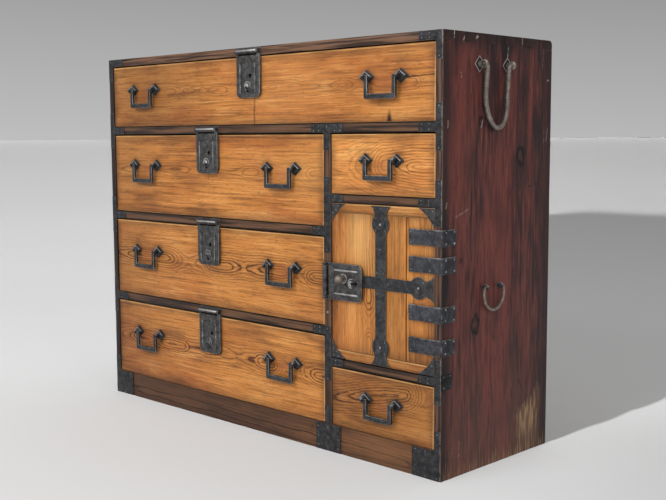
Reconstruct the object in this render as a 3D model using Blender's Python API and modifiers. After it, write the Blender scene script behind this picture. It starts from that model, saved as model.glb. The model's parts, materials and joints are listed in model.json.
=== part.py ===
"""A merchant's chest: a board case with six drawers, a hinged door and forged iron fittings.

Sizes are in metres. X runs along the front, Y from front to back and Z up from the floor. The
origin is on the floor, under the middle of the whole chest with its fittings.
"""

import math

import bmesh
import bpy
from mathutils import Euler, Matrix

MM = 0.001

# Clearances
TOUCH = 0.3 * MM  # between pieces that are fastened face to face, and round a pin
WELD = 0.01 * MM  # points this close are one point

# Case
CASE_WIDTH = 1106 * MM
CASE_DEPTH = 373 * MM
CASE_HEIGHT = 880 * MM
SIDE_THICKNESS = 17 * MM
TOP_THICKNESS = 19 * MM
BACK_THICKNESS = 8 * MM
BASE_HEIGHT = 61 * MM
BASE_THICKNESS = 22 * MM
FLOOR_THICKNESS = 12 * MM
PARTITION_THICKNESS = 20 * MM
RAIL_THICKNESS = 20 * MM
SMALL_RAIL_THICKNESS = 17.5 * MM
RAIL_DEPTH = 30 * MM
SHELF_THICKNESS = 9 * MM
FACE_SETBACK = 1 * MM  # rails and drawers stand this far behind the posts
FINGERS = 11  # finger joints along each end of the top

# Openings in the front
TOP_OPENING = 154 * MM
LEFT_UPPER_EXTRA = 4 * MM  # the upper left drawer is taller than the two below it
RIGHT_COLUMN = 282 * MM
DOOR_OPENING = 333.5 * MM
RIGHT_LOWER_EXTRA = 1.5 * MM  # the lower small drawer is taller than the upper one

# Drawers
FRONT_THICKNESS = 20 * MM
FRONT_ROUNDING = 1.2 * MM
FRONT_LIFT = 1.2 * MM  # lower edge of a front above its rail
DRAWER_SIDE_GAP = 1.5 * MM
DRAWER_TOP_GAP = 3 * MM
DRAWER_BACK_GAP = 14 * MM
DRAWER_WALL = 10 * MM
DRAWER_FLOOR = 7 * MM
BOX_DROP = 4 * MM  # top of a drawer's sides below the top of its front

# Square bails on diamond roses
BAIL_SPACING = 91 * MM
SMALL_BAIL_SPACING = 84 * MM
BAIL_END_MARGIN = 87 * MM  # outer eye from the end of a wide drawer
TOP_BAIL_DEPTH = 60 * MM  # eyes below the top edge of the drawer
LEFT_BAIL_DEPTH = 74 * MM
SMALL_BAIL_DEPTH = 53 * MM
BAIL_DROP = 45 * MM
BAIL_BAR_HEIGHT = 9.5 * MM
BAIL_BAR_THICKNESS = 6.5 * MM
BAIL_ARM_FOOT = 7 * MM
BAIL_ARM_TIP = 5.6 * MM
BAIL_ARM_RISE = 3 * MM  # arm above its pin
BAIL_ARM_INSET = 8.5 * MM  # arm from its eye
BAIL_CHAMFER = 0.8 * MM
BAIL_CORNER = 2 * MM
PIN_END = 2 * MM  # pin past its eye

# Roses and eyes: half width of the rose, its height, eye radius, eye length and pin radius
BAIL_EYE = (14 * MM, 5.5 * MM, 6 * MM, 5.5 * MM, 2.5 * MM)
CARRY_EYE = (15 * MM, 5 * MM, 8.5 * MM, 7 * MM, 4 * MM)
RING_EYE = (11 * MM, 3.5 * MM, 6 * MM, 5 * MM, 2.5 * MM)
EYE_SEAT = 1 * MM  # eye sunk into its rose
ROSE_SINK = 1.5 * MM  # rose sunk into the wood
ROSE_EDGE = 1.5 * MM

# Handles on the sides
CARRY_SPACING = 99 * MM
CARRY_BELOW_TOP = 60 * MM
CARRY_FROM_FRONT = 161.5 * MM
CARRY_DROP = 129 * MM
CARRY_ARM_INSET = 10 * MM
CARRY_BEND = 5.5 * MM
RING_SPACING = 50 * MM
RING_HEIGHT = 375 * MM
RING_FROM_FRONT = 160 * MM
RING_RADIUS = 34 * MM
RING_CENTRE_DROP = 14 * MM

# Hasp locks
LOCK_WIDTH = 78 * MM
LOCK_PLATE_THICKNESS = 1.5 * MM
LOCK_PLATE_MARGIN = 6 * MM
LEAF_MARGIN = 0.8 * MM
HASP_LENGTH = 103.5 * MM
HASP_THICKNESS = 3.5 * MM
HASP_CHAMFER = 12 * MM
KNUCKLE_RADIUS = 5.5 * MM
EAR_LENGTH = 5 * MM
LOCK_PIN_RADIUS = 2.2 * MM
RIB_INSET = 11.5 * MM  # middle of a rib from the side of the hasp
RIB_WIDTH = 7 * MM
RIB_PROUD = 2.6 * MM
RIB_TOP = 24 * MM  # below the pin
RIB_FOOT = 10 * MM  # above the lower edge
BOSS_RADIUS = 11 * MM
BOSS_PROUD = 6.5 * MM
BOSS_BELOW_PIN = 77 * MM
KEYHOLE_BELOW_PIN = 87 * MM
KEYHOLE_RADIUS = 2.6 * MM
STUD_HOLE_BELOW_PIN = 54 * MM
STUD_HOLE_OFFSET = 8.5 * MM
STUD_HOLE_RADIUS = 2.2 * MM

# Door
DOOR_THICKNESS = 20 * MM
DOOR_CLEARANCE = 1.1 * MM
DOOR_END_GAP = 1.5 * MM  # above and below the door
CLEAT_HEIGHT = 19 * MM
PANEL_SETBACK = 0.8 * MM
BOARD_JOINT = 73 * MM  # joint between two door boards, from the hinge side
GROOVE_WIDTH = 2 * MM
GROOVE_DEPTH = 1.5 * MM
CORNER_IRON = 40 * MM
KNOB_RADIUS = 9.5 * MM
KNOB_COLLAR_RADIUS = 10.5 * MM
KNOB_COLLAR_HEIGHT = 2.5 * MM
KNOB_NECK_RADIUS = 4.5 * MM
KNOB_NECK_HEIGHT = 2.5 * MM
STRAP_THICKNESS = 1.6 * MM
STRAP_WIDTH = 28.5 * MM
CROSS_STRAP_WIDTH = 26 * MM
CROSS_STRAP_RISE = 6 * MM  # above the middle of the door
CROSS_STRAP_LIFT = 0.2 * MM
STRAP_END_WIDTH = 52 * MM
STRAP_NECK = 20 * MM  # from the end of a strap
STRAP_BULB_RADIUS = 23 * MM
STRAP_EDGE_MARGIN = 1 * MM

# Strap hinges
HINGE_HEIGHT = 33 * MM
HINGE_FRONT_LENGTH = 82 * MM  # from the corner of the case
HINGE_SIDE_LENGTH = 43 * MM
HINGE_LEAF_THICKNESS = 1.5 * MM
HINGE_BARREL = 3.2 * MM
HINGE_PIN_RADIUS = 1.3 * MM
HINGE_KNUCKLE = 11 * MM
HINGE_FROM_EDGE = 57.5 * MM  # middle of an outer hinge from the door's edge
HINGE_UPPER_STEP = 54 * MM
HINGE_LOWER_STEP = 65 * MM

# Joint irons on the front of the case
IRON_PROUD = 0.9 * MM
IRON_MARGIN = 0.5 * MM
IRON_REACH = 36 * MM  # past the rail, along the post
IRON_TONGUE = 42 * MM
IRON_TAPER = 0.6 * MM  # each edge of a tongue, from its root to its tip
STILE_TONGUE = 36 * MM
BASE_TONGUE = 56 * MM
BASE_IRON_RISE = 40 * MM
BASE_CENTRE_IRON = 73 * MM
SIDE_TAB_LENGTH = 35 * MM
SIDE_TAB_HEIGHT = 33 * MM

# Facets
ROUND_SIDES = 12
BARREL_SIDES = 10
KNOB_SIDES = 16
ARC_STEPS = 8

# How a fitting stands: its X along the face, its Y up and its Z out of the face
ON_FRONT = Euler((math.pi / 2, 0, 0))
ON_RIGHT = Euler((math.pi / 2, 0, math.pi / 2))
ON_LEFT = Euler((math.pi / 2, 0, -math.pi / 2))
ON_FRONT_LYING = Euler((math.pi / 2, -math.pi / 2, 0))

# Levels worked out from the sizes: X in the chest, Z from the floor
case_right = CASE_WIDTH / 2
inner_right = case_right - SIDE_THICKNESS
right_column_left = inner_right - RIGHT_COLUMN
left_column_right = right_column_left - PARTITION_THICKNESS
stile_middle = (left_column_right + right_column_left) / 2
carry_level = CASE_HEIGHT - CARRY_BELOW_TOP
inner_depth = CASE_DEPTH - BACK_THICKNESS
top_under = CASE_HEIGHT - TOP_THICKNESS
upper_rail = (top_under - TOP_OPENING - RAIL_THICKNESS, top_under - TOP_OPENING)
column_height = upper_rail[0] - BASE_HEIGHT
left_opening = (column_height - 2 * RAIL_THICKNESS - LEFT_UPPER_EXTRA) / 3
left_lower_rail = (BASE_HEIGHT + left_opening, BASE_HEIGHT + left_opening + RAIL_THICKNESS)
left_upper_rail = (left_lower_rail[1] + left_opening, left_lower_rail[1] + left_opening + RAIL_THICKNESS)
small_opening = (column_height - DOOR_OPENING - RIGHT_LOWER_EXTRA) / 2 - SMALL_RAIL_THICKNESS
right_lower_rail = (BASE_HEIGHT + small_opening + RIGHT_LOWER_EXTRA,
                    BASE_HEIGHT + small_opening + RIGHT_LOWER_EXTRA + SMALL_RAIL_THICKNESS)
right_upper_rail = (right_lower_rail[1] + DOOR_OPENING,
                    right_lower_rail[1] + DOOR_OPENING + SMALL_RAIL_THICKNESS)

# Lock: heights above the face that carries it, and levels measured from its pin
lock_pin_height = TOUCH + LOCK_PLATE_THICKNESS + TOUCH + KNUCKLE_RADIUS
lock_leaf_top = min(RAIL_THICKNESS, TOP_THICKNESS, PARTITION_THICKNESS) / 2 - LEAF_MARGIN
hasp_back = TOUCH - KNUCKLE_RADIUS
hasp_front = hasp_back + HASP_THICKNESS
knob_height = KNOB_COLLAR_HEIGHT + KNOB_NECK_HEIGHT + 2 * KNOB_RADIUS

# The front of the case stands back from the middle by half of what the knob reaches out
knob_reach = lock_pin_height + hasp_front + TOUCH + knob_height
case_front = (knob_reach - CASE_DEPTH) / 2

# Hinge pin: just outside the front corner of the case
hinge_offset = (HINGE_BARREL + TOUCH) / math.sqrt(2)

# Door
door_right = inner_right - DOOR_CLEARANCE
door_room = RIGHT_COLUMN - 2 * DOOR_CLEARANCE
door_swing = math.hypot(door_room, DOOR_THICKNESS) - door_room
door_width = door_room - door_swing
door_left = door_right - door_width
door_low = right_lower_rail[1] + DOOR_END_GAP
door_height = DOOR_OPENING - 2 * DOOR_END_GAP
door_middle = door_low + door_height / 2

iron_back = FACE_SETBACK - TOUCH

for old in list(bpy.data.objects):
    bpy.data.objects.remove(old)

chest = bpy.data.collections.new("merchant_chest")
bench = bpy.data.collections.new("cutters")
for group in (chest, bench):
    bpy.context.scene.collection.children.link(group)


def finish(name, colour, roughness, metallic=0.0):
    """A plain finish in the colour of the photographed surface."""
    material = bpy.data.materials.new(name)
    material.use_nodes = True
    shader = material.node_tree.nodes["Principled BSDF"]
    shader.inputs["Base Color"].default_value = (*colour, 1)
    shader.inputs["Roughness"].default_value = roughness
    shader.inputs["Metallic"].default_value = metallic
    material.diffuse_color = (*colour, 1)
    return material


elm = finish("elm_front", (0.46, 0.21, 0.06), 0.45)
dark_wood = finish("dark_frame", (0.10, 0.05, 0.03), 0.5)
lacquer = finish("red_brown_lacquer", (0.11, 0.03, 0.02), 0.4)
paulownia = finish("pale_drawer_wood", (0.47, 0.33, 0.19), 0.7)
black_iron = finish("black_iron", (0.035, 0.038, 0.045), 0.5, 0.9)
grey_iron = finish("worn_grey_iron", (0.16, 0.15, 0.14), 0.45, 0.9)


def bench_object(mesh):
    shape = bpy.data.objects.new("shape", mesh)
    shape.hide_render = True
    shape.display_type = "WIRE"
    bench.objects.link(shape)
    return shape


def frozen(shape):
    """The finished mesh of a bench object, welded and facing outwards. The object is removed."""
    bpy.context.view_layer.update()
    graph = bpy.context.evaluated_depsgraph_get()
    mesh = bpy.data.meshes.new_from_object(shape.evaluated_get(graph))
    bpy.data.objects.remove(shape)
    form = bmesh.new()
    form.from_mesh(mesh)
    bmesh.ops.remove_doubles(form, verts=form.verts, dist=WELD)
    bmesh.ops.recalc_face_normals(form, faces=form.faces)
    form.to_mesh(mesh)
    form.free()
    return mesh


def combined(base, added=(), removed=()):
    """One mesh: a base with some shapes joined to it and others cut from it."""
    shape = bench_object(base)
    tools = []
    for operation, meshes in (("UNION", added), ("DIFFERENCE", removed)):
        for mesh in meshes:
            tool = bench_object(mesh)
            modifier = shape.modifiers.new(operation, "BOOLEAN")
            modifier.operation = operation
            modifier.object = tool
            tools.append(tool)
    mesh = frozen(shape)
    for tool in tools:
        bpy.data.objects.remove(tool)
    return mesh


def rounded(mesh, width):
    """The mesh with its sharp edges taken off."""
    shape = bench_object(mesh)
    bevel = shape.modifiers.new("edges", "BEVEL")
    bevel.width = width
    bevel.limit_method = "ANGLE"
    return frozen(shape)


def placed(mesh, turn=None, at=(0, 0, 0)):
    """The mesh itself, turned and moved."""
    rotation = turn.to_matrix().to_4x4() if turn else Matrix.Identity(4)
    mesh.transform(Matrix.Translation(at) @ rotation)
    return mesh


def mirrored(points):
    """An outline's right half, closed by its mirror image."""
    return points + [(-x, y) for x, y in reversed(points)]


def mesh_of(form):
    mesh = bpy.data.meshes.new("shape")
    form.to_mesh(mesh)
    form.free()
    return mesh


def block(low, high):
    size = [b - a for a, b in zip(low, high)]
    middle = [(a + b) / 2 for a, b in zip(low, high)]
    form = bmesh.new()
    place = Matrix.Translation(middle) @ Matrix.Diagonal((*size, 1))
    bmesh.ops.create_cube(form, size=1, matrix=place)
    return mesh_of(form)


def rod(radius, low, high, axis, sides=ROUND_SIDES):
    """A round bar along the X, Y or Z axis."""
    turns = {"X": Euler((0, math.pi / 2, 0)), "Y": Euler((-math.pi / 2, 0, 0)), "Z": Euler()}
    form = bmesh.new()
    place = turns[axis].to_matrix().to_4x4() @ Matrix.Translation((0, 0, (low + high) / 2))
    bmesh.ops.create_cone(form, cap_ends=True, segments=sides, radius1=radius, radius2=radius,
                          depth=high - low, matrix=place)
    return mesh_of(form)


def corners_of(points):
    """An outline without its repeated points and the points along its straight edges."""
    outline = [point for i, point in enumerate(points) if math.dist(point, points[i - 1]) > WELD]
    corners = []
    for i, (x, y) in enumerate(outline):
        before = outline[i - 1]
        after = outline[(i + 1) % len(outline)]
        turn = (x - before[0]) * (after[1] - y) - (y - before[1]) * (after[0] - x)
        if abs(turn) > WELD**2:
            corners.append((x, y))
    return corners


def slab(points, low, high):
    """A flat outline given a thickness along Z, from low to high."""
    curve = bpy.data.curves.new("outline", "CURVE")
    curve.dimensions = "2D"
    curve.fill_mode = "BOTH"
    curve.extrude = (high - low) / 2
    corners = corners_of(points)
    spline = curve.splines.new("POLY")
    spline.points.add(len(corners) - 1)
    for corner, (x, y) in zip(spline.points, corners):
        corner.co = (x, y, 0, 1)
    spline.use_cyclic_u = True
    return placed(frozen(bench_object(curve)), at=(0, 0, (low + high) / 2))


def tube(points, radius):
    """A round bar along a path in the XY plane."""
    curve = bpy.data.curves.new("path", "CURVE")
    curve.dimensions = "3D"
    curve.bevel_depth = radius
    curve.bevel_resolution = 2
    curve.use_fill_caps = True
    spline = curve.splines.new("POLY")
    spline.points.add(len(points) - 1)
    for point, (x, y) in zip(spline.points, points):
        point.co = (x, y, 0, 1)
    return frozen(bench_object(curve))


def turned(profile, sides):
    """A shape turned about Z, from a profile of radius and height that runs from top to foot."""
    form = bmesh.new()
    points = [form.verts.new((radius, 0, height)) for radius, height in profile]
    for first, second in zip(points, points[1:]):
        form.edges.new((first, second))
    shape = bench_object(mesh_of(form))
    screw = shape.modifiers.new("turn", "SCREW")
    screw.steps = sides
    screw.render_steps = sides
    screw.use_merge_vertices = True
    screw.merge_threshold = WELD
    return frozen(shape)


def arc(centre, radius, start, end, steps=ARC_STEPS):
    """Points on an arc, with its angles in degrees."""
    angles = [math.radians(start + (end - start) * i / steps) for i in range(steps + 1)]
    return [(centre[0] + radius * math.cos(a), centre[1] + radius * math.sin(a)) for a in angles]


def piece(name, mesh, material, parent, location=(0, 0, 0), turn=None, smooth=False):
    """A named piece of the chest."""
    mesh.name = name
    mesh.materials.clear()
    mesh.materials.append(material)
    if smooth:
        mesh.shade_smooth()
        mesh.set_sharp_from_angle(angle=math.radians(40))
    shape = bpy.data.objects.new(name, mesh)
    shape.location = location
    shape.rotation_euler = turn or Euler()
    shape.parent = parent
    chest.objects.link(shape)
    return shape


def pivot(name, location, parent=None):
    """An empty that carries the pieces which move together."""
    empty = bpy.data.objects.new(name, None)
    empty.location = location
    empty.parent = parent
    chest.objects.link(empty)
    return empty


# The case: Y counts from its front here


def finger_edge(length, owned, low, high):
    """A comb of fingers along an edge, as (distance along the edge, level)."""
    step = length / FINGERS
    points = []
    start = 0
    for i in range(FINGERS):
        own = i % 2 == owned
        level = high if own else low
        end = (i + 1) * step + (-TOUCH / 2 if own else TOUCH / 2)
        if i == FINGERS - 1:
            end = length
        points += [(start, level), (end, level)]
        start = end
    return points


def iron_strip(left, right, low, high, tongues):
    """A joint iron: an upright strip with a tongue (tip, low, high) along each rail it ties in."""
    up = [(right, low)]
    down = [(left, high)]
    for tip, foot, top in sorted(tongues, key=lambda tongue: tongue[1]):
        if tip > right:
            up += [(right, foot), (tip, foot + IRON_TAPER), (tip, top - IRON_TAPER), (right, top)]
    for tip, foot, top in sorted(tongues, key=lambda tongue: -tongue[1]):
        if tip < left:
            down += [(left, top), (tip, top - IRON_TAPER), (tip, foot + IRON_TAPER), (left, foot)]
    outline = up + [(right, high)] + down + [(left, low)]
    return placed(slab(outline, -iron_back, IRON_PROUD), ON_FRONT)


def tongue_on(rail, tip):
    return (tip, rail[0] + IRON_MARGIN, rail[1] - IRON_MARGIN)


def eye(kind):
    """A diamond rose with the bored eye that carries a handle's pin."""
    half_width, height, radius, length, pin = kind
    profile = [(0, height), (half_width * 0.42, height), (half_width * 0.9, ROSE_EDGE * 1.4),
               (half_width, ROSE_EDGE), (half_width, -ROSE_SINK), (0, -ROSE_SINK)]
    level = eye_pin_height(kind)
    ring = placed(rod(radius, -length / 2, length / 2, "X"), at=(0, 0, level))
    bore = placed(rod(pin + TOUCH, -length, length, "X"), at=(0, 0, level))
    return combined(turned(profile, 4), [ring], [bore])


def eye_pin_height(kind):
    return kind[1] + kind[2] - EYE_SEAT


def side_eyes(kind, spacing, from_front, height, outward):
    """The pair of eyes of a handle on the right side (outward 1) or the left side (-1)."""
    shape = eye(kind)
    turn = ON_RIGHT if outward > 0 else ON_LEFT
    depths = (from_front - spacing / 2, from_front + spacing / 2)
    return [placed(shape.copy(), turn, (outward * case_right, depth, height)) for depth in depths]


def side_board(outward, rails, fittings):
    """A side with finger joints at its top and irons on its front edge."""
    top_edge = finger_edge(CASE_DEPTH, 1, top_under - TOUCH, CASE_HEIGHT)
    outline = [(0, 0), (CASE_DEPTH, 0)] + top_edge[::-1]
    edges = sorted((outward * inner_right, outward * case_right))
    board = placed(slab(outline, *edges), ON_RIGHT)
    left, right = edges[0] + IRON_MARGIN, edges[1] - IRON_MARGIN
    tip = outward * (inner_right - IRON_TONGUE)
    base_tip = outward * (inner_right - BASE_TONGUE)
    irons = [iron_strip(left, right, IRON_MARGIN, BASE_HEIGHT + BASE_IRON_RISE,
                        [tongue_on((0, BASE_HEIGHT), base_tip)]),
             iron_strip(left, right, top_under - IRON_REACH, CASE_HEIGHT - IRON_MARGIN,
                        [tongue_on((top_under, CASE_HEIGHT), tip)])]
    for rail in rails:
        irons.append(iron_strip(left, right, rail[0] - IRON_REACH, rail[1] + IRON_REACH,
                                [tongue_on(rail, tip)]))
    return combined(board, irons + fittings)


def top_board():
    ends = finger_edge(CASE_DEPTH, 0, inner_right - TOUCH, case_right)
    edge = [(level, max(depth, FACE_SETBACK)) for depth, level in ends]
    return slab(mirrored(edge), top_under, CASE_HEIGHT)


def shelf(left, right, rail):
    """A rail with the thinner shelf behind it, flush on top."""
    back = inner_depth - TOUCH
    front = FACE_SETBACK
    behind = front + RAIL_DEPTH
    low, top = rail
    under = top - SHELF_THICKNESS
    outline = [(front, low), (behind, low), (behind, under), (back, under), (back, top), (front, top)]
    return placed(slab(outline, left + TOUCH, right - TOUCH), ON_RIGHT)


def partition():
    """The upright between the columns, with the irons that tie the rails to its front edge."""
    notch = FACE_SETBACK + RAIL_DEPTH + TOUCH
    foot = BASE_HEIGHT + TOUCH
    top_front = upper_rail[0] - TOUCH
    top_back = upper_rail[1] - SHELF_THICKNESS - TOUCH
    back = inner_depth - TOUCH
    outline = [(0, foot), (back, foot), (back, top_back), (notch, top_back), (notch, top_front),
               (0, top_front)]
    board = placed(slab(outline, left_column_right, right_column_left), ON_RIGHT)
    left, right = left_column_right + IRON_MARGIN, right_column_left - IRON_MARGIN
    left_tip, right_tip = left_column_right - STILE_TONGUE, right_column_left + STILE_TONGUE
    upper = iron_strip(left, right, upper_rail[0] - IRON_REACH, upper_rail[1] - IRON_MARGIN,
                       [tongue_on(upper_rail, left_tip), tongue_on(upper_rail, right_tip)])
    middle = iron_strip(left, right, left_upper_rail[0] - IRON_REACH, right_upper_rail[1] + IRON_REACH,
                        [tongue_on(left_upper_rail, left_tip), tongue_on(right_upper_rail, right_tip)])
    lower = iron_strip(left, right, right_lower_rail[0] - IRON_REACH, left_lower_rail[1],
                       [tongue_on(left_lower_rail, left_tip), tongue_on(right_lower_rail, right_tip)])
    foot_iron = iron_strip(left, right, foot + IRON_MARGIN, BASE_HEIGHT + BASE_IRON_RISE, [])
    return combined(board, [upper, middle, lower, foot_iron])


def base_rail():
    """The board under the front, with the iron below the partition."""
    board = block((TOUCH - inner_right, FACE_SETBACK, 0),
                  (inner_right - TOUCH, FACE_SETBACK + BASE_THICKNESS, BASE_HEIGHT))
    half = BASE_CENTRE_IRON / 2
    iron = block((stile_middle - half, -IRON_PROUD, IRON_MARGIN),
                 (stile_middle + half, FACE_SETBACK + iron_back, BASE_HEIGHT - IRON_MARGIN))
    return combined(board, [iron])


def side_tab():
    """The end of the lower right iron, bent round the corner onto the side."""
    middle = sum(right_lower_rail) / 2
    return block((case_right - iron_back, -IRON_PROUD / 2, middle - SIDE_TAB_HEIGHT / 2),
                 (case_right + IRON_PROUD, SIDE_TAB_LENGTH, middle + SIDE_TAB_HEIGHT / 2))


def build_case():
    case = pivot("case", (0, case_front, 0))
    carry_eyes = (CARRY_EYE, CARRY_SPACING, CARRY_FROM_FRONT, carry_level)
    ring_eyes = (RING_EYE, RING_SPACING, RING_FROM_FRONT, RING_HEIGHT)
    right_fittings = side_eyes(*carry_eyes, 1) + side_eyes(*ring_eyes, 1) + [side_tab()]
    right_rails = (upper_rail, right_upper_rail, right_lower_rail)
    left_rails = (upper_rail, left_upper_rail, left_lower_rail)
    piece("right_side", side_board(1, right_rails, right_fittings), lacquer, case)
    piece("left_side", side_board(-1, left_rails, side_eyes(*carry_eyes, -1)), lacquer, case)
    piece("top_board", top_board(), lacquer, case)
    piece("base_rail", base_rail(), dark_wood, case)
    floor = block((TOUCH - inner_right, FACE_SETBACK + BASE_THICKNESS + TOUCH, BASE_HEIGHT - FLOOR_THICKNESS),
                  (inner_right - TOUCH, inner_depth - TOUCH, BASE_HEIGHT))
    piece("bottom_board", floor, paulownia, case)
    back = block((TOUCH - inner_right, inner_depth, 0),
                 (inner_right - TOUCH, CASE_DEPTH, top_under - TOUCH))
    piece("back_panel", back, paulownia, case)
    piece("partition", partition(), dark_wood, case)
    piece("upper_shelf", shelf(-inner_right, inner_right, upper_rail), dark_wood, case)
    for name, rail in (("left_upper_shelf", left_upper_rail), ("left_lower_shelf", left_lower_rail)):
        piece(name, shelf(-inner_right, left_column_right, rail), dark_wood, case)
    for name, rail in (("right_upper_shelf", right_upper_rail), ("right_lower_shelf", right_lower_rail)):
        piece(name, shelf(right_column_left, inner_right, rail), dark_wood, case)
    return case


# Side handles


def carry_handle():
    """A round bar bent to a U, with its ends turned out through the eyes."""
    length, pin = CARRY_EYE[3:]
    tip = CARRY_SPACING / 2 + length / 2 + PIN_END
    arm = CARRY_SPACING / 2 - CARRY_ARM_INSET
    straight = CARRY_DROP - arm - pin
    half = [(tip, 0)] + arc((arm + CARRY_BEND, -CARRY_BEND), CARRY_BEND, 90, 180, 4)
    half += arc((0, -straight), arm, 0, -90)
    return tube(half[:-1] + [(-x, y) for x, y in reversed(half)], pin)


def side_ring():
    """A ring open at the top, with its ends turned in through the eyes."""
    length, pin = RING_EYE[3:]
    tip = RING_SPACING / 2 - length / 2 - PIN_END
    start = math.degrees(math.asin(RING_CENTRE_DROP / RING_RADIUS))
    shoulder = math.sqrt(RING_RADIUS**2 - RING_CENTRE_DROP**2)
    bend = 1.1 * pin
    lead = math.degrees(bend / RING_RADIUS)
    half = [(tip, 0), (shoulder - bend, 0)]
    half += arc((0, -RING_CENTRE_DROP), RING_RADIUS, start - lead, -90, 12)
    return tube(half[:-1] + [(-x, y) for x, y in reversed(half)], pin)


def build_side_handles(case):
    reach = case_right + eye_pin_height(CARRY_EYE)
    place = (CARRY_FROM_FRONT, carry_level)
    piece("right_carry_handle", carry_handle(), grey_iron, case, (reach, *place), ON_RIGHT, True)
    piece("left_carry_handle", carry_handle(), grey_iron, case, (-reach, *place), ON_LEFT, True)
    ring_place = (case_right + eye_pin_height(RING_EYE), RING_FROM_FRONT, RING_HEIGHT)
    piece("right_ring", side_ring(), grey_iron, case, ring_place, ON_RIGHT, True)


# Hasp locks: levels count from the pin, with Z out of the face


def lock_plate():
    """The plate behind a hasp, with the two ears and the pin that the hasp hangs on."""
    half = LOCK_WIDTH / 2
    low = TOUCH - lock_pin_height
    high = low + LOCK_PLATE_THICKNESS
    foot = LOCK_PLATE_MARGIN - HASP_LENGTH
    plate = slab(mirrored([(half, foot), (half, lock_leaf_top)]), low, high)
    section = [(KNUCKLE_RADIUS, (low + high) / 2)] + arc((0, 0), KNUCKLE_RADIUS, 0, 180)
    section.append((-KNUCKLE_RADIUS, (low + high) / 2))
    inside, outside = half - EAR_LENGTH, half - LEAF_MARGIN / 2
    ears = [placed(slab(section, inside, outside), ON_RIGHT),
            placed(slab(section, -outside, -inside), ON_RIGHT)]
    pin = rod(LOCK_PIN_RADIUS, EAR_LENGTH / 2 - half, half - EAR_LENGTH / 2, "X")
    return combined(plate, ears + [pin])


def hasp():
    """The flap: a rolled knuckle, a plate with two ribs, a boss, a keyhole and a stud hole."""
    half = LOCK_WIDTH / 2
    neck = half - EAR_LENGTH - TOUCH
    bore = LOCK_PIN_RADIUS + TOUCH
    tuck = KNUCKLE_RADIUS / 2
    shoulder = KNUCKLE_RADIUS + 2 * TOUCH
    outline = [(neck, -tuck), (neck, -shoulder), (half, -shoulder), (half, HASP_CHAMFER - HASP_LENGTH),
               (half - HASP_CHAMFER, -HASP_LENGTH)]
    flap = slab(mirrored(outline), hasp_back, hasp_front)
    knuckle = rod(KNUCKLE_RADIUS, -neck + TOUCH, neck - TOUCH, "X", KNOB_SIDES)
    rib_sink = HASP_THICKNESS / 2
    middle = half - RIB_INSET
    ribs = []
    for x in (-middle, middle):
        rib = rod(RIB_WIDTH / 2, RIB_FOOT - HASP_LENGTH, -RIB_TOP, "Y")
        rib.transform(Matrix.Diagonal((1, 1, 2 * RIB_PROUD / RIB_WIDTH, 1)))
        ribs.append(placed(rib, at=(x, 0, hasp_front)))
    profile = [(0, BOSS_PROUD), (BOSS_RADIUS * 0.35, BOSS_PROUD * 0.93), (BOSS_RADIUS * 0.62, BOSS_PROUD * 0.6),
               (BOSS_RADIUS * 0.72, BOSS_PROUD * 0.25), (BOSS_RADIUS, BOSS_PROUD * 0.2),
               (BOSS_RADIUS, -rib_sink), (0, -rib_sink)]
    boss = placed(turned(profile, ROUND_SIDES), at=(0, -BOSS_BELOW_PIN, hasp_front))
    pin_hole = rod(bore, -half, half, "X")
    through = hasp_front + BOSS_PROUD
    keyhole = placed(rod(KEYHOLE_RADIUS, 2 * hasp_back, through, "Z", BARREL_SIDES),
                     at=(0, -KEYHOLE_BELOW_PIN, 0))
    stud_hole = placed(rod(STUD_HOLE_RADIUS, 2 * hasp_back, through, "Z", BARREL_SIDES),
                       at=(STUD_HOLE_OFFSET, -STUD_HOLE_BELOW_PIN, 0))
    return combined(flap, [knuckle, *ribs, boss], [pin_hole, keyhole, stud_hole])


def build_lock(owner, parent, location, turn, shapes):
    """A lock plate and its hasp, both with their origin on the pin."""
    plate, flap = shapes
    piece(owner + "_lock_plate", plate.copy(), black_iron, parent, location, turn)
    return piece(owner + "_hasp", flap.copy(), black_iron, parent, location, turn, True)


# Drawers


def bail(spacing):
    """A square bail: a flat bar with tapered arms, and pins turned out through the eyes."""
    arm = spacing / 2 - BAIL_ARM_INSET
    foot, tip = BAIL_ARM_FOOT / 2, BAIL_ARM_TIP / 2
    half = [(arm - foot, BAIL_BAR_HEIGHT - BAIL_DROP), (arm - tip, BAIL_ARM_RISE), (arm + tip, BAIL_ARM_RISE),
            (arm + foot, BAIL_CORNER - BAIL_DROP), (arm + foot - BAIL_CORNER, -BAIL_DROP)]
    bar = rounded(slab(mirrored(half), -BAIL_BAR_THICKNESS / 2, BAIL_BAR_THICKNESS / 2), BAIL_CHAMFER)
    length, pin = BAIL_EYE[3:]
    end = spacing / 2 + length / 2 + PIN_END
    pins = [rod(pin, arm, end, "X", BARREL_SIDES), rod(pin, -end, -arm, "X", BARREL_SIDES)]
    return combined(bar, pins)


def drawer_front(width, height, eyes):
    low, top = FRONT_LIFT, height - DRAWER_TOP_GAP
    board = rounded(block((-width / 2, 0, low), (width / 2, FRONT_THICKNESS, top)), FRONT_ROUNDING)
    shape = eye(BAIL_EYE)
    roses = [placed(shape.copy(), ON_FRONT, (x, 0, z)) for x, z in eyes]
    return combined(board, roses)


def drawer_box(width, height):
    """Two sides, a back and a floor; the front closes it."""
    half = width / 2
    back = inner_depth - FACE_SETBACK - DRAWER_BACK_GAP
    front = FRONT_THICKNESS + TOUCH
    top = height - DRAWER_TOP_GAP - BOX_DROP
    body = block((-half, front, TOUCH), (half, back, top))
    hollow = block((DRAWER_WALL - half, front - DRAWER_WALL, TOUCH + DRAWER_FLOOR),
                   (half - DRAWER_WALL, back - DRAWER_WALL, top + DRAWER_WALL))
    return combined(body, removed=[hollow])


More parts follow.
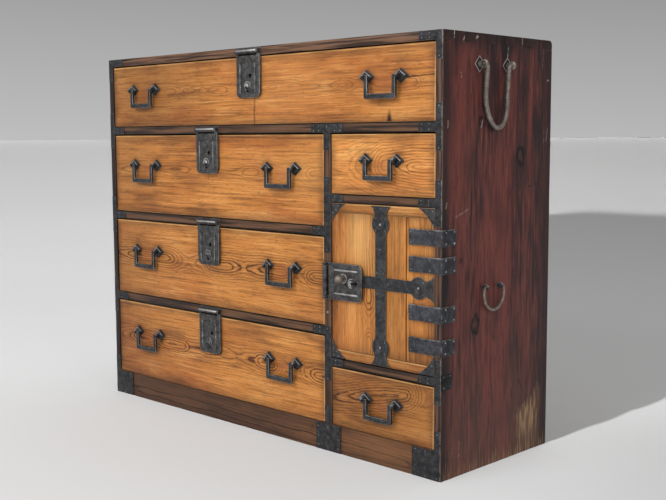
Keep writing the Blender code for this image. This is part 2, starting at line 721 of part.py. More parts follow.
def build_drawer(name, case, columns, levels, bails, bail_depth, spacing, lock_rise, lock_shapes):
    """A drawer, its bails (name and middle X) and, where lock_rise is given, its lock."""
    left, right = columns
    width = right - left - 2 * DRAWER_SIDE_GAP
    height = levels[1] - levels[0]
    drawer = pivot(name, ((left + right) / 2, FACE_SETBACK, levels[0]), case)
    eye_level = height - DRAWER_TOP_GAP - bail_depth
    eyes = [(x + side * spacing / 2, eye_level) for _, x in bails for side in (-1, 1)]
    piece(name + "_front", drawer_front(width, height, eyes), elm, drawer)
    piece(name + "_box", drawer_box(width, height), paulownia, drawer)
    pins = -eye_pin_height(BAIL_EYE)
    for bail_name, x in bails:
        piece(bail_name, bail(spacing), black_iron, drawer, (x, pins, eye_level), ON_FRONT)
    if lock_rise:
        build_lock(name, drawer, (0, -lock_pin_height, height + lock_rise), ON_FRONT, lock_shapes)


def wide_bails(name, left, right):
    """The two bails of a wide drawer, as far from its ends as each other."""
    reach = (right - left) / 2 - DRAWER_SIDE_GAP - BAIL_END_MARGIN - BAIL_SPACING / 2
    return [(name + "_left_bail", -reach), (name + "_right_bail", reach)]


def build_drawers(case, lock_shapes):
    whole = (-inner_right, inner_right)
    left = (-inner_right, left_column_right)
    right = (right_column_left, inner_right)
    build_drawer("top_drawer", case, whole, (upper_rail[1], top_under), wide_bails("top_drawer", *whole),
                 TOP_BAIL_DEPTH, BAIL_SPACING, TOP_THICKNESS / 2, lock_shapes)
    for name, levels in (("left_upper_drawer", (left_upper_rail[1], upper_rail[0])),
                         ("left_middle_drawer", (left_lower_rail[1], left_upper_rail[0])),
                         ("left_lower_drawer", (BASE_HEIGHT, left_lower_rail[0]))):
        build_drawer(name, case, left, levels, wide_bails(name, *left), LEFT_BAIL_DEPTH, BAIL_SPACING,
                     RAIL_THICKNESS / 2, lock_shapes)
    for name, levels in (("right_upper_drawer", (right_upper_rail[1], upper_rail[0])),
                         ("right_lower_drawer", (BASE_HEIGHT, right_lower_rail[0]))):
        build_drawer(name, case, right, levels, [(name + "_bail", 0)], SMALL_BAIL_DEPTH,
                     SMALL_BAIL_SPACING, None, lock_shapes)


# Door: pieces count from its lower left front corner


def door_panel():
    """Three upright boards, with grooves where they meet."""
    half = GROOVE_WIDTH / 2
    front = PANEL_SETBACK
    outline = [(0, front)]
    for joint in (door_width / 2, door_width - BOARD_JOINT):
        outline += [(joint - half, front), (joint, front + GROOVE_DEPTH), (joint + half, front)]
    outline += [(door_width, front), (door_width, DOOR_THICKNESS), (0, DOOR_THICKNESS)]
    return slab(outline, CLEAT_HEIGHT + TOUCH, door_height - CLEAT_HEIGHT - TOUCH)


def door_cleat(low, corner, upward):
    """The rail across one end of the boards, with the two corner irons nailed to it."""
    rail = block((0, 0, low), (door_width, DOOR_THICKNESS, low + CLEAT_HEIGHT))
    sink = PANEL_SETBACK - TOUCH
    inset = corner + upward * IRON_MARGIN
    reach = corner + upward * CORNER_IRON
    irons = []
    for edge, inward in ((IRON_MARGIN, 1), (door_width - IRON_MARGIN, -1)):
        outline = [(edge, inset), (edge + inward * CORNER_IRON, inset), (edge, reach)]
        irons.append(placed(slab(outline, -sink, IRON_PROUD), ON_FRONT))
    return combined(rail, irons)


def strap_end(half_width):
    """Half of a strap's flared end and bulb, as (half width, distance from the end)."""
    middle = STRAP_NECK + math.sqrt(STRAP_BULB_RADIUS**2 - half_width**2)
    turn = math.degrees(math.acos(half_width / STRAP_BULB_RADIUS))
    return [(STRAP_END_WIDTH / 2, 0)] + arc((0, middle), STRAP_BULB_RADIUS, -turn, turn)


def door_strap():
    """An upright strap with two flared ends, crossed by one that runs to the lock."""
    half = STRAP_WIDTH / 2
    low, high = STRAP_EDGE_MARGIN, door_height - STRAP_EDGE_MARGIN
    edge = [(x, low + y) for x, y in strap_end(half)] + [(x, high - y) for x, y in reversed(strap_end(half))]
    upright = slab(mirrored(edge), TOUCH, TOUCH + STRAP_THICKNESS)
    half = CROSS_STRAP_WIDTH / 2
    tip = door_width / 2 - STRAP_EDGE_MARGIN
    lock_edge = stile_middle + HASP_LENGTH + TOUCH - door_left - door_width / 2
    edge = [(tip - y, x) for x, y in strap_end(half)] + [(lock_edge, half)]
    outline = edge + [(x, -y) for x, y in reversed(edge)]
    level = door_height / 2 + CROSS_STRAP_RISE
    bottom = TOUCH + CROSS_STRAP_LIFT
    crossing = placed(slab(outline, bottom, bottom + STRAP_THICKNESS), at=(0, level, 0))
    return placed(combined(upright, [crossing]), ON_FRONT, (door_width / 2, 0, 0))


def knob():
    """A ball on a neck and collar, with a stem through the hasp."""
    neck_top = KNOB_COLLAR_HEIGHT + KNOB_NECK_HEIGHT
    centre = neck_top + KNOB_RADIUS
    start = math.degrees(math.acos(KNOB_NECK_RADIUS / KNOB_RADIUS))
    ball = arc((0, centre), KNOB_RADIUS, 90, -start)
    stem = STUD_HOLE_RADIUS - TOUCH
    profile = [(0, centre + KNOB_RADIUS)] + ball[1:]
    profile += [(KNOB_NECK_RADIUS, KNOB_COLLAR_HEIGHT), (KNOB_COLLAR_RADIUS, KNOB_COLLAR_HEIGHT),
                (KNOB_COLLAR_RADIUS, 0), (stem, 0), (stem, -HASP_THICKNESS), (0, -HASP_THICKNESS)]
    return turned(profile, KNOB_SIDES)


def front_hinge_leaf():
    """The strap on the door, with one knuckle. Its Y lies on the hinge pin."""
    clear = HINGE_BARREL + 2 * TOUCH
    tab = -(HINGE_PIN_RADIUS + 2 * TOUCH)
    half, knuckle = HINGE_HEIGHT / 2, HINGE_KNUCKLE / 2
    tip = -(HINGE_FRONT_LENGTH + hinge_offset)
    outline = [(tip, -half), (-clear, -half), (-clear, -knuckle), (tab, -knuckle), (tab, knuckle),
               (-clear, knuckle), (-clear, half), (tip, half)]
    low = TOUCH - hinge_offset
    leaf = slab(outline, low, low + HINGE_LEAF_THICKNESS)
    barrel = rod(HINGE_BARREL, -knuckle + TOUCH, knuckle - TOUCH, "Y", BARREL_SIDES)
    bore = rod(HINGE_PIN_RADIUS + TOUCH, -half, half, "Y", BARREL_SIDES)
    return combined(leaf, [barrel], [bore])


def side_hinge_leaf():
    """The leaf on the case's side, with two knuckles and the pin."""
    clear = HINGE_BARREL + 2 * TOUCH
    tab = HINGE_PIN_RADIUS + TOUCH
    half, knuckle = HINGE_HEIGHT / 2, HINGE_KNUCKLE / 2 + TOUCH
    tip = HINGE_SIDE_LENGTH + hinge_offset
    outline = [(tip, -half), (tip, half), (tab, half), (tab, knuckle), (clear, knuckle), (clear, -knuckle),
               (tab, -knuckle), (tab, -half)]
    low = TOUCH - hinge_offset
    leaf = slab(outline, low, low + HINGE_LEAF_THICKNESS)
    inside, outside = knuckle + TOUCH, half - TOUCH
    added = [rod(HINGE_BARREL, inside, outside, "Y", BARREL_SIDES),
             rod(HINGE_BARREL, -outside, -inside, "Y", BARREL_SIDES),
             rod(HINGE_PIN_RADIUS, -outside + TOUCH, outside - TOUCH, "Y", BARREL_SIDES)]
    return combined(leaf, added)


def build_hinges(case, door, pin):
    top, foot = door_low + door_height, door_low
    levels = (top - HINGE_FROM_EDGE, top - HINGE_FROM_EDGE - HINGE_UPPER_STEP,
              foot + HINGE_FROM_EDGE + HINGE_LOWER_STEP, foot + HINGE_FROM_EDGE)
    for number, level in enumerate(levels, 1):
        piece(f"hinge_{number}_door_leaf", front_hinge_leaf(), black_iron, door, (0, 0, level - pin[2]), ON_FRONT)
        piece(f"hinge_{number}_case_leaf", side_hinge_leaf(), black_iron, case, (*pin[:2], level), ON_RIGHT)


def build_door(case, lock_shapes):
    pin = (case_right + hinge_offset, -hinge_offset, door_low)
    door = pivot("door", pin, case)
    corner = (door_left - pin[0], -pin[1], 0)
    piece("door_panel", door_panel(), elm, door, corner)
    piece("door_top_cleat", door_cleat(door_height - CLEAT_HEIGHT, door_height, -1), elm, door, corner)
    piece("door_bottom_cleat", door_cleat(0, 0, 1), elm, door, corner)
    piece("door_strap", door_strap(), black_iron, door, corner)
    place = (stile_middle - pin[0], -lock_pin_height - pin[1], door_height / 2)
    door_hasp = build_lock("door", door, place, ON_FRONT_LYING, lock_shapes)
    seat = (STUD_HOLE_OFFSET, -STUD_HOLE_BELOW_PIN, hasp_front + TOUCH)
    piece("door_knob", knob(), black_iron, door_hasp, seat, None, True)
    build_hinges(case, door, pin)


def main():
    case = build_case()
    build_side_handles(case)
    lock_shapes = (lock_plate(), hasp())
    build_drawers(case, lock_shapes)
    build_door(case, lock_shapes)
    bpy.context.view_layer.update()


main()
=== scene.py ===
# %% [markdown]
# # Dressing a merchant's chest
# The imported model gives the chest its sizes, its bodies and its joints. Here it is loaded as a fixed frame, and each
# piece of it is made again with worn edges, forged irons, nails and real finishes, in the same place.

# %% Load the frame
import json
import math

import bmesh
import bpy
from mathutils import Euler, Matrix, Vector, noise


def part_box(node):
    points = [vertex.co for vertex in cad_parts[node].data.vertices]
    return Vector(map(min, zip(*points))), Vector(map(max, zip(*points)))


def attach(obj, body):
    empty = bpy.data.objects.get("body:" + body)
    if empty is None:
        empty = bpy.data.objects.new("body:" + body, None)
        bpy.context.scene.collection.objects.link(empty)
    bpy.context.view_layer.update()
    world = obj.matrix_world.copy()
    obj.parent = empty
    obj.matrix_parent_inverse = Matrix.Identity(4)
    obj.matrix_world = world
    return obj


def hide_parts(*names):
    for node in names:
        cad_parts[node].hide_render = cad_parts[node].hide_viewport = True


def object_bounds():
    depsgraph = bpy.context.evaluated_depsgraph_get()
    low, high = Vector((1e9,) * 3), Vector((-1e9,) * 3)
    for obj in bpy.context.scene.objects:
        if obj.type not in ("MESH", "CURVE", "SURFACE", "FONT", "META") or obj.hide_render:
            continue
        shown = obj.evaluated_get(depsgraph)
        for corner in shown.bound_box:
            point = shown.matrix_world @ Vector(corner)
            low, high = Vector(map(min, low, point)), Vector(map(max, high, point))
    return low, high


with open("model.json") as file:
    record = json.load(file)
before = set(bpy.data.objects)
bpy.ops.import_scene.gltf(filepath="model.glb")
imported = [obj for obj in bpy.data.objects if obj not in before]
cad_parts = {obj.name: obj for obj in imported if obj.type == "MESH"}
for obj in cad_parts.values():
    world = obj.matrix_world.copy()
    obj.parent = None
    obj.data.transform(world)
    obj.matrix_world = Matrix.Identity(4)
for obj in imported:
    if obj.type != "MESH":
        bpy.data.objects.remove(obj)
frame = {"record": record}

MM = 0.001
cad_box = [list(corner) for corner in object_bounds()]

# %% [markdown]
# The main planes and levels of the chest are read from the frame, so that nothing has to be fitted by eye. X runs
# along the front, Y from front to back and Z up. Every pin that something turns on comes from the joints.

# %% Planes, levels and pins
GAP = 0.3 * MM  # round boards that are let into each other
SIDE_THICKNESS, TOP_THICKNESS, FRONT_THICKNESS = 17 * MM, 19 * MM, 20 * MM
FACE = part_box("upper_shelf")[0][1]  # front of rails, drawers and door
POST = FACE - 1 * MM  # front of the two sides and the partition
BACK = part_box("back_panel")[1][1]
INSIDE = BACK - 8.3 * MM  # back ends of the boards in the case
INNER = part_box("upper_shelf")[1][0] + GAP
CASE = INNER + SIDE_THICKNESS
TOP = cad_box[1][2]
UNDER_TOP = TOP - TOP_THICKNESS
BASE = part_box("base_rail")[1][2]
RAILS = {name: (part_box(name)[0][2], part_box(name)[1][2]) for name in (
    "upper_shelf", "left_upper_shelf", "left_lower_shelf", "right_upper_shelf", "right_lower_shelf")}
STILE = (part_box("left_upper_shelf")[1][0] + GAP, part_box("right_upper_shelf")[0][0] - GAP)
STILE_MIDDLE = (STILE[0] + STILE[1]) / 2
PINS = {joint["child"]: Vector(joint["pos_m"])
        for joint in frame["record"]["behaviour"]["joints"] if "pos_m" in joint}
print("face at", round(FACE, 5), "partition", [round(x, 4) for x in STILE], len(PINS), "pins")

# %% [markdown]
# ## The studio
# The photograph was taken with a lens of about 57 mm, a little above the middle of the chest and 44 degrees round
# from the front. A camera can be turned by hand until it fits; here its place was worked out from the corners of the
# chest, so it is set once. The pale floor takes the shadow, and the backdrop is a soft grey that darkens upwards.

# %% Camera
camera = bpy.data.objects.new("camera", bpy.data.cameras.new("camera"))
camera.data.lens = 56.967
camera.data.sensor_width = 36
camera.matrix_world = (Matrix.Translation((1.81054, -1.76073, 0.6773))
                       @ Matrix.Rotation(math.radians(44.28), 4, "Z")
                       @ Matrix.Rotation(math.radians(90 - 6.09445), 4, "X")
                       @ Matrix.Rotation(math.radians(-0.26186), 4, "Z"))
scene = bpy.context.scene
scene.collection.objects.link(camera)
scene.camera = camera
scene.view_settings.view_transform = "Standard"
print("camera at", [round(c, 3) for c in camera.matrix_world.translation])

# %% [markdown]
# ## Writing shader maths
# Finishes are built from nodes. Wiring dozens of them by hand hides the idea, so one small class wraps a socket: an
# expression such as `1 - mask * 0.5` adds the Math nodes it needs, and `node` adds any other node. Colours and
# vectors go through Mix and Vector Math, because a Math node would turn a colour grey.

# %% A socket that takes part in expressions
class Wire:
    """One socket of a shader tree."""

    def __init__(self, tree, socket=None):
        self.tree, self.socket = tree, socket

    def node(self, kind, settings=None, sockets=None, out=0):
        """A new node: its settings first, then the values or wires of its sockets."""
        made = self.tree.nodes.new("ShaderNode" + kind)
        for name, value in (settings or {}).items():
            if name == "stops":
                made.color_ramp.interpolation, stops = "EASE", made.color_ramp.elements
                for place, _ in value[1:-1]:
                    stops.new(place)
                for stop, (place, tone) in zip(stops, value):
                    stop.position, stop.color = place, (tone, tone, tone, 1)
            else:
                setattr(made, name, value)
        for name, value in (sockets or {}).items():
            if isinstance(value, Wire):
                self.tree.links.new(value.socket, made.inputs[name])
            else:
                made.inputs[name].default_value = value
        return Wire(self.tree, made.outputs[out])

    def maths(self, operation, *terms):
        return self.node("Math", {"operation": operation}, dict(enumerate(terms)))

    def vector(self, operation, *terms, out=0):
        return self.node("VectorMath", {"operation": operation}, dict(enumerate(terms)), out)

    def __add__(self, other):
        return self.maths("ADD", self, other)

    def __mul__(self, other):
        return self.maths("MULTIPLY", self, other)

    def __sub__(self, other):
        return self.maths("SUBTRACT", self, other)

    def __rsub__(self, other):
        return self.maths("SUBTRACT", other, self)

    def __truediv__(self, other):
        return self.maths("DIVIDE", self, other)

    __radd__, __rmul__ = __add__, __mul__


# %% Colours and masks
def srgb(*levels):
    """A colour as it is read off a picture (0 to 255), made linear."""
    return (*[(c / 255 / 12.92 if c < 11 else ((c / 255 + 0.055) / 1.055) ** 2.4) for c in levels], 1)


def grey(level):
    return srgb(level, level, level)


def fade(value, nothing, full):
    """0 where the value is at nothing, 1 where it is at full, and smooth in between."""
    return value.node("MapRange", {"interpolation_type": "SMOOTHSTEP"},
                      {"Value": value, "From Min": nothing, "From Max": full})


def mixed(factor, first, second):
    return factor.node("Mix", {"data_type": "RGBA"}, {0: factor, 6: first, 7: second}, out=2)


def layered(colour, *layers):
    """Tones laid over a colour one after another, each as its mask says."""
    for mask, tone in layers:
        colour = mixed(mask, colour, tone)
    return colour


def axes_of(place):
    return [place.node("SeparateXYZ", None, {0: place}, out=i) for i in range(3)]


def least(first, *others):
    for other in others:
        first = first.maths("MINIMUM", first, other)
    return first


def most(first, *others):
    for other in others:
        first = first.maths("MAXIMUM", first, other)
    return first


# %% Noise, spots and lines
def clouds(place, stretch, detail=2, shift=0.0, out=0):
    """Noise with so many patches to the metre along each axis."""
    moved = place.node("Mapping", None, {"Vector": place, "Scale": stretch,
                                         "Location": (shift, shift * 1.7, shift * 2.3)})
    return place.node("TexNoise", None, {"Vector": moved, "Scale": 1.0, "Detail": detail, "Roughness": 0.55}, out)


def spot(place, centre, radii, rim=1.0, core=0.0):
    """A soft spot: 1 at its centre and 0 at its rim."""
    moved = place.node("Mapping", None, {"Vector": place, "Scale": tuple(1 / r for r in radii),
                                         "Location": tuple(-c / r for c, r in zip(centre, radii))})
    return fade(moved.vector("LENGTH", moved, out=1), rim, core)


def streak(place, start, end, width):
    """A line from start to end, 1 in its middle and 0 at its width."""
    run = Vector(end) - Vector(start)
    away = place.vector("SUBTRACT", place, tuple(start))
    share = away.vector("DOT_PRODUCT", away, tuple(run / run.length_squared), out=1)
    share = share.node("Clamp", None, {"Value": share})
    nearest = share.node("VectorMath", {"operation": "SCALE"}, {0: tuple(run), "Scale": share})
    return fade(away.vector("DISTANCE", away, nearest, out=1), width, width * 0.3)


print("shader helpers ready")

# %% [markdown]
# A finish ends the same way each time: its colour, roughness and relief go into one Principled shader. What is the
# same all over, such as how metallic a finish is, is set on the shader itself.

# %% Start and end of a finish
def new_finish(name):
    """An empty finish, and the wire of its Object coordinates."""
    finish = bpy.data.materials.new(name)
    finish.use_nodes = True
    return finish, Wire(finish.node_tree).node("TexCoord", out=3)


def wear_and_light_of(place):
    """How worn the surface is, with painted highlight and shade: an attribute that every piece carries,
    1 along its rubbed edges.
    """
    return place.node("Attribute", {"attribute_name": "wear"}, out=2)


def complete(finish, colour, roughness, height, relief, **fixed):
    shader = finish.node_tree.nodes["Principled BSDF"]
    for name, value in fixed.items():
        shader.inputs[name.replace("_", " ")].default_value = value
    bump = height.node("Bump", None, {"Height": height, "Strength": 0.6, "Distance": relief})
    for name, wire in (("Base Color", colour), ("Roughness", roughness), ("Normal", bump)):
        finish.node_tree.links.new(wire.socket, shader.inputs[name])
    return finish


# %% [markdown]
# ## Floor, backdrop and light
# A real studio sweep is a sheet of paper curved up behind the object. A wide disc and a grey world behind it look
# the same and leave room to walk round. Large soft boxes and the world light the chest at a plain level.

# %% Floor
floor_mesh = bpy.data.meshes.new("studio_floor")
form = bmesh.new()
bmesh.ops.create_circle(form, cap_ends=True, radius=500, segments=96)
form.to_mesh(floor_mesh)
form.free()
floor = bpy.data.objects.new("studio_floor", floor_mesh)
scene.collection.objects.link(floor)
paper, spread = new_finish("floor_paper")
away = spread.vector("LENGTH", spread, out=1)
tooth = clouds(spread, (40, 40, 40), 3)
aside = spread.vector("DOT_PRODUCT", spread, (0.716, 0.698, 0), out=1) / (away + 1.5)  # to the photograph's right
far = fade(away, 1.5, 7.0) * 0.8 + fade(away, 7.0, 24.0) * 0.2
# The floor's tone carries painted light and shade: it is lighter further off, and painted darker far to the right, in
# front of the chest and beside its right side.
tone = layered(grey(180),
               (fade(away, 2.0, 7.0), grey(193)),
               (fade(aside, -0.1, 0.4) * far, grey(177)),
               (spot(spread, (0.3, -0.8, 0), (1.5, 1.5, 1.5), core=0.2), grey(171)),
               (spot(spread, (1.15, 0.35, 0), (0.7, 0.9, 0.9), core=0.4), grey(158)))
complete(paper, tone, 0.85 + tooth * 0.1, tooth, 0.0)
floor_mesh.materials.append(paper)

# %% Backdrop and soft boxes
world = bpy.data.worlds.new("studio")
scene.world = world
world.use_nodes = True
sky = Wire(world.node_tree)
upwards = sky.vector("DOT_PRODUCT", sky.node("TexCoord", out=0), (0.045, 0.043, 1.0), out=1)
climb = sky.node("MapRange", None, {"Value": upwards, "From Min": -0.018, "From Max": 0.148})
seen = sky.node("Background", None, {"Color": mixed(climb, grey(190), grey(152))})
lit = sky.node("Background", None, {"Color": (1, 1, 1, 1), "Strength": 0.55})
shown = most(*[sky.node("LightPath", out=ray) for ray in (0, 3, 6)])  # camera, glossy and transmission rays
sky_out = world.node_tree.nodes["World Output"]
world.node_tree.links.new(sky.node("MixShader", None, {0: shown, 1: lit, 2: seen}).socket, sky_out.inputs[0])


def soft_box(name, at, aim, size, watts):
    lamp = bpy.data.lights.new(name, "AREA")
    lamp.shape, lamp.size, lamp.size_y, lamp.energy = "RECTANGLE", size[0], size[1], watts
    holder = bpy.data.objects.new(name, lamp)
    holder.location = at
    holder.rotation_euler = (Vector(aim) - Vector(at)).to_track_quat("-Z", "Y").to_euler()
    scene.collection.objects.link(holder)


soft_box("key_box", (-0.1, -3.1, 2.3), (0, 0, 0.4), (2.2, 1.6), 62)
soft_box("side_box", (3.4, -1.0, 2.2), (0.5, 0, 0.4), (1.6, 1.6), 26)
soft_box("top_box", (0.3, 1.2, 3.4), (0, 0, 0.8), (2.0, 1.2), 16)

# %% [markdown]
# The shadow in the photograph runs far back and widens, as a small bare lamp in front of the chest throws it. Such a
# lamp would light the near floor far more than the rest, so it shines harder the flatter its rays run, and it lights
# the floor alone.

# %% A bare lamp for the shadow on the floor
bare_lamp = bpy.data.lights.new("floor_lamp", "POINT")
bare_lamp.energy, bare_lamp.shadow_soft_size = 30.0, 0.02
bare_lamp.use_nodes = True
beam = Wire(bare_lamp.node_tree)
down = beam.node("SeparateXYZ", None, {0: beam.node("TexCoord", out=1)}, out=2)
sunk = beam.maths("MAXIMUM", beam.maths("ABSOLUTE", down), 0.004)
level = (fade(sunk, 0.07, 0.25) * 0.4 + 0.6) / sunk  # nearly even over the floor
level = level * beam.maths("SQRT", beam.maths("MINIMUM", 1.0, sunk / 0.08))  # dimmer towards the horizon
even = beam.node("LightFalloff", None, {"Strength": level}, out=2)
bare_lamp.node_tree.links.new(even.socket, bare_lamp.node_tree.nodes["Emission"].inputs["Strength"])
floor_lamp = bpy.data.objects.new("floor_lamp", bare_lamp)
floor_lamp.location = (0.554, -2.5, 1.243)
scene.collection.objects.link(floor_lamp)
only_floor = bpy.data.collections.new("only_floor")
only_floor.objects.link(floor)
floor_lamp.light_linking.receiver_collection = only_floor
print("floor, backdrop, three soft boxes and a bare lamp for the long shadow")

# %% [markdown]
# ## Elm
# The fronts are old, oiled elm: golden brown, with dark open pores in lines where the saw met the growth rings. A
# flat stripe pattern never looks like a board, so each board comes from a log whose heart runs along it, some way
# below the face. The distance from the heart gives the rings. Where the heart comes up to the face, they close into
# the pointed islands of a board that was sawn flat.

# %% Growth rings
RING = 5.5 * MM
DEEPEST = 80  # mm
LATE_WOOD = [(0, 0.9), (0.08, 1.0), (0.22, 0.3), (0.5, 0.05), (0.86, 0.12), (1, 0.9)]  # how dark, through one ring


def growth_rings(axes, grain, fine, heart, seed, depths, slope, reach, bold):
    """How dark the rings are, and how near the heart is. The axes run along the log, across it and into it."""
    along, across, depth = axes
    start, length = depths[0][0], depths[-1][0] - depths[0][0]
    stops = [((at - start) / length, deep / DEEPEST) for at, deep in depths]
    sunk = along.node("ValToRGB", {"stops": stops}, {0: (along - start) / length}) * (DEEPEST * MM)
    drift = clouds(grain, (2.0, 2.0, 5.0), 2, seed)
    off = across - heart - (along - start) * slope + (drift - 0.5) * 0.024 + depth * 0.8
    span = off.maths("SQRT", off * off + sunk * sunk + (1.5 * MM) ** 2)
    near = fade(span, reach, 0.010)
    swell = clouds(grain, (7, 5, 11), 2, seed + 1)
    count = (span + (swell - 0.5) * near * 0.012 + (fine - 0.5) * 0.0035) / RING + 0.4
    year = count.node("TexWhiteNoise", {"noise_dimensions": "1D"}, {"W": count.maths("FLOOR", count)})
    line = count.node("ValToRGB", {"stops": LATE_WOOD}, {0: count.maths("FRACT", count)})
    return line * (0.5 + year * 0.65) * (0.25 + near * bold), near


# %% Elm finish
GOLD = (srgb(205, 134, 63), srgb(92, 50, 21), srgb(174, 97, 43), srgb(230, 168, 98))  # light, lines, red, pale
BRIGHT = (srgb(231, 156, 79), srgb(108, 59, 25), srgb(206, 119, 55), srgb(249, 193, 119))
PALE_EDGE_HIGHLIGHT = srgb(230, 178, 112)
SOOT_AND_SHADE = srgb(54, 33, 22)


def elm(name, low, high, heart, seed, depths=((-1, 12), (1, 12)), slope=0.0, upright=False, tones=GOLD,
        reach=50 * MM, bold=1.0, highlit_lips=False, marks=()):
    """Elm for a board whose face spans low to high (x, z). The heart of the log runs along it at one level (heart) and
    lies as many mm below the face as depths says for points along it; the rings close round where it comes up."""
    finish, place = new_finish(name)
    x, y, z = axes_of(place)
    depth = y - FACE
    along, across = (z, x) if upright else (x, z)
    grain = place.node("CombineXYZ", None, {0: along, 1: y, 2: across}) if upright else place
    fine = clouds(grain, (14, 220, 220), 2, seed + 3)
    ring, near = growth_rings((along, across, depth), grain, fine, heart, seed, depths, slope, reach, bold)
    pores = fade(clouds(grain, (55, 420, 420), 2, seed + 5), 0.52, 0.68)
    dashes = fade(clouds(grain, (9, 220, 220), 2, seed + 15), 0.55, 0.68)
    flecks = fade(clouds(grain, (60, 330, 330), 1, seed + 11), 0.62, 0.74)
    mottle = clouds(grain, (7, 230, 230), 3, seed + 13)
    broad = clouds(grain, (3.0, 7, 7), 3, seed + 7)
    patch = clouds(grain, (7.0, 24, 24), 3, seed + 9)
    rim = least(least(x - low[0], high[0] - x), least(z - low[1], high[1] - z))
    light, line, red, pale = tones
    dark = tuple(c * 0.45 for c in line[:3]) + (1,)
    colour = layered(
        light,
        (fade(broad, 0.40, 0.72) * 0.75, red), (fade(patch, 0.52, 0.72) * 0.4, pale),
        (fade(patch, 0.50, 0.28) * 0.45, line), (fade(mottle, 0.50, 0.30) * 0.5, line),
        (fade(mottle, 0.52, 0.72) * 0.5, pale), (ring * (0.34 + near * 0.66), line),
        (pores * (0.18 + ring * 0.4), line), (dashes * 0.4, line), (flecks * 0.35, dark),
        (fade(rim + (patch - 0.5) * 0.02, 0.026, -0.002) * 0.45, SOOT_AND_SHADE),
        *[mark(place) for mark in marks])
    rub = fade(wear_and_light_of(place) + (fine - 0.5) * 0.9, 0.25, 0.8)
    if highlit_lips:  # the upper and the right edge are rubbed pale and carry a painted highlight
        lip = most(fade(high[1] - z, 0.0040, 0.0018), fade(high[0] - x, 0.0044, 0.0020) * 0.8)
        rub = most(rub, lip * fade(patch + fine * 0.6, 0.55, 0.95))
    # Last comes painted shade on the faces that lie back from the front, in the gaps round a board.
    colour = layered(colour, (rub * (0.75 if highlit_lips else 0.4), PALE_EDGE_HIGHLIGHT if highlit_lips else light),
                     (fade(depth, 0.0016, 0.004) * 0.7, SOOT_AND_SHADE))
    return complete(finish, colour, 0.42 + ring * 0.12 + pores * 0.12, 1 - ring * 0.5 - pores * 0.6 - flecks * 0.5,
                    0.0005, Specular_IOR_Level=0.26, Coat_Weight=0.05, Coat_Roughness=0.4)


# %% Stains and cracks
def stain(centre, radii, colour, strength, core=0.0):
    """A soft stain, as a mark for a finish; its core is even."""
    return lambda place: (spot(place, centre, radii, 1.0, core) * strength, colour)


def scratch(start, end, width, colour, strength, shake=0.004, whole=False):
    """A crack, drip or scratch, as a mark for a finish; broken here and there, or whole."""
    def mark(place):
        wobble = clouds(place, (60, 60, 60), 2, width * 900, out=1)
        wobble = wobble.vector("MULTIPLY", wobble.vector("SUBTRACT", wobble, (0.5, 0.5, 0.5)), (shake,) * 3)
        line = streak(place.vector("ADD", place, wobble), start, end, width)
        if not whole:
            line = line * fade(clouds(place, (150, 150, 150), 2, width * 500), 0.34, 0.54)
        return line * strength, colour
    return mark


print("elm is ready")

# %% [markdown]
# ## The other woods
# Rails and partition are darkened softwood, the sides and top are softwood under a thin red-brown lacquer that has
# gone black at the edges, and the drawer boxes are pale paulownia. Each has straight streaks along the grain, so
# noise that is stretched along one axis is enough.

# %% Straight-grained finishes
SLOW = {"x": 6, "y": 5, "z": 4}  # streaks to the metre along a board that lies along that axis


def lengthwise(along, across, down):
    """Patches to the metre for noise that is drawn out along one axis."""
    return tuple(down if axis == along else across for axis in "xyz")


def streaky(name, along, dark, light, worn, seed, gloss=0.45, edge=0.55, contrast=(0.38, 0.66), **fixed):
    """Straight-grained wood between two tones, rubbed to a third along its edges."""
    finish, place = new_finish(name)
    thin = clouds(place, lengthwise(along, 230, SLOW[along]), 3, seed)
    band = clouds(place, lengthwise(along, 45, 5), 3, seed + 2)
    specks = clouds(place, (900, 900, 900), 1, seed + 4)
    grain = fade(thin * 0.62 + band * 0.38, *contrast)
    rub = fade(wear_and_light_of(place) + (band - 0.5) * 1.4 + (specks - 0.5) * 0.5, 0.35, 0.9)
    # Points whose wear is below zero go nearly black: painted shade.
    colour = layered(dark, (grain, light), (fade(specks, 0.58, 0.74) * 0.25, dark), (rub * edge, worn),
                     (fade(wear_and_light_of(place), -0.1, -0.9) * 0.92, srgb(12, 10, 10)))
    return complete(finish, colour, gloss + grain * 0.1 + specks * 0.1, thin * 0.7 + specks * 0.3, 0.0004, **fixed)


rail_wood = streaky("rail_wood", "x", srgb(46, 34, 28), srgb(108, 77, 57), srgb(122, 92, 68), 1.0, edge=0.25,
                    contrast=(0.40, 0.60), Specular_IOR_Level=0.2)
stile_wood = streaky("stile_wood", "z", srgb(40, 31, 27), srgb(105, 75, 57), srgb(128, 96, 73), 2.0,
                     contrast=(0.40, 0.60), Specular_IOR_Level=0.2)
drawer_wood = streaky("drawer_wood", "y", srgb(196, 164, 122), srgb(222, 194, 152), srgb(226, 204, 168), 3.0, 0.6)
cross_wood = streaky("cross_wood", "x", srgb(192, 160, 118), srgb(220, 190, 148), srgb(226, 204, 168), 4.0, 0.6)
back_wood = streaky("back_wood", "z", srgb(120, 90, 62), srgb(160, 126, 90), srgb(176, 146, 110), 5.0, 0.65)
print("woods:", rail_wood.name, stile_wood.name, drawer_wood.name, back_wood.name)

# %% [markdown]
# ## Lacquer on the sides
# The lacquer was wiped on along the board, so it shows upright streaks, bright red where it is thin and nearly black
# where hands and soot have darkened it. Its marks are listed: knots, a pale drip above the handle, painted shadows
# beside the handle, dark stains with painted shade under the hinges and the bare corner at the foot.

# %% Lacquer finish
BLACK = srgb(29, 22, 24)


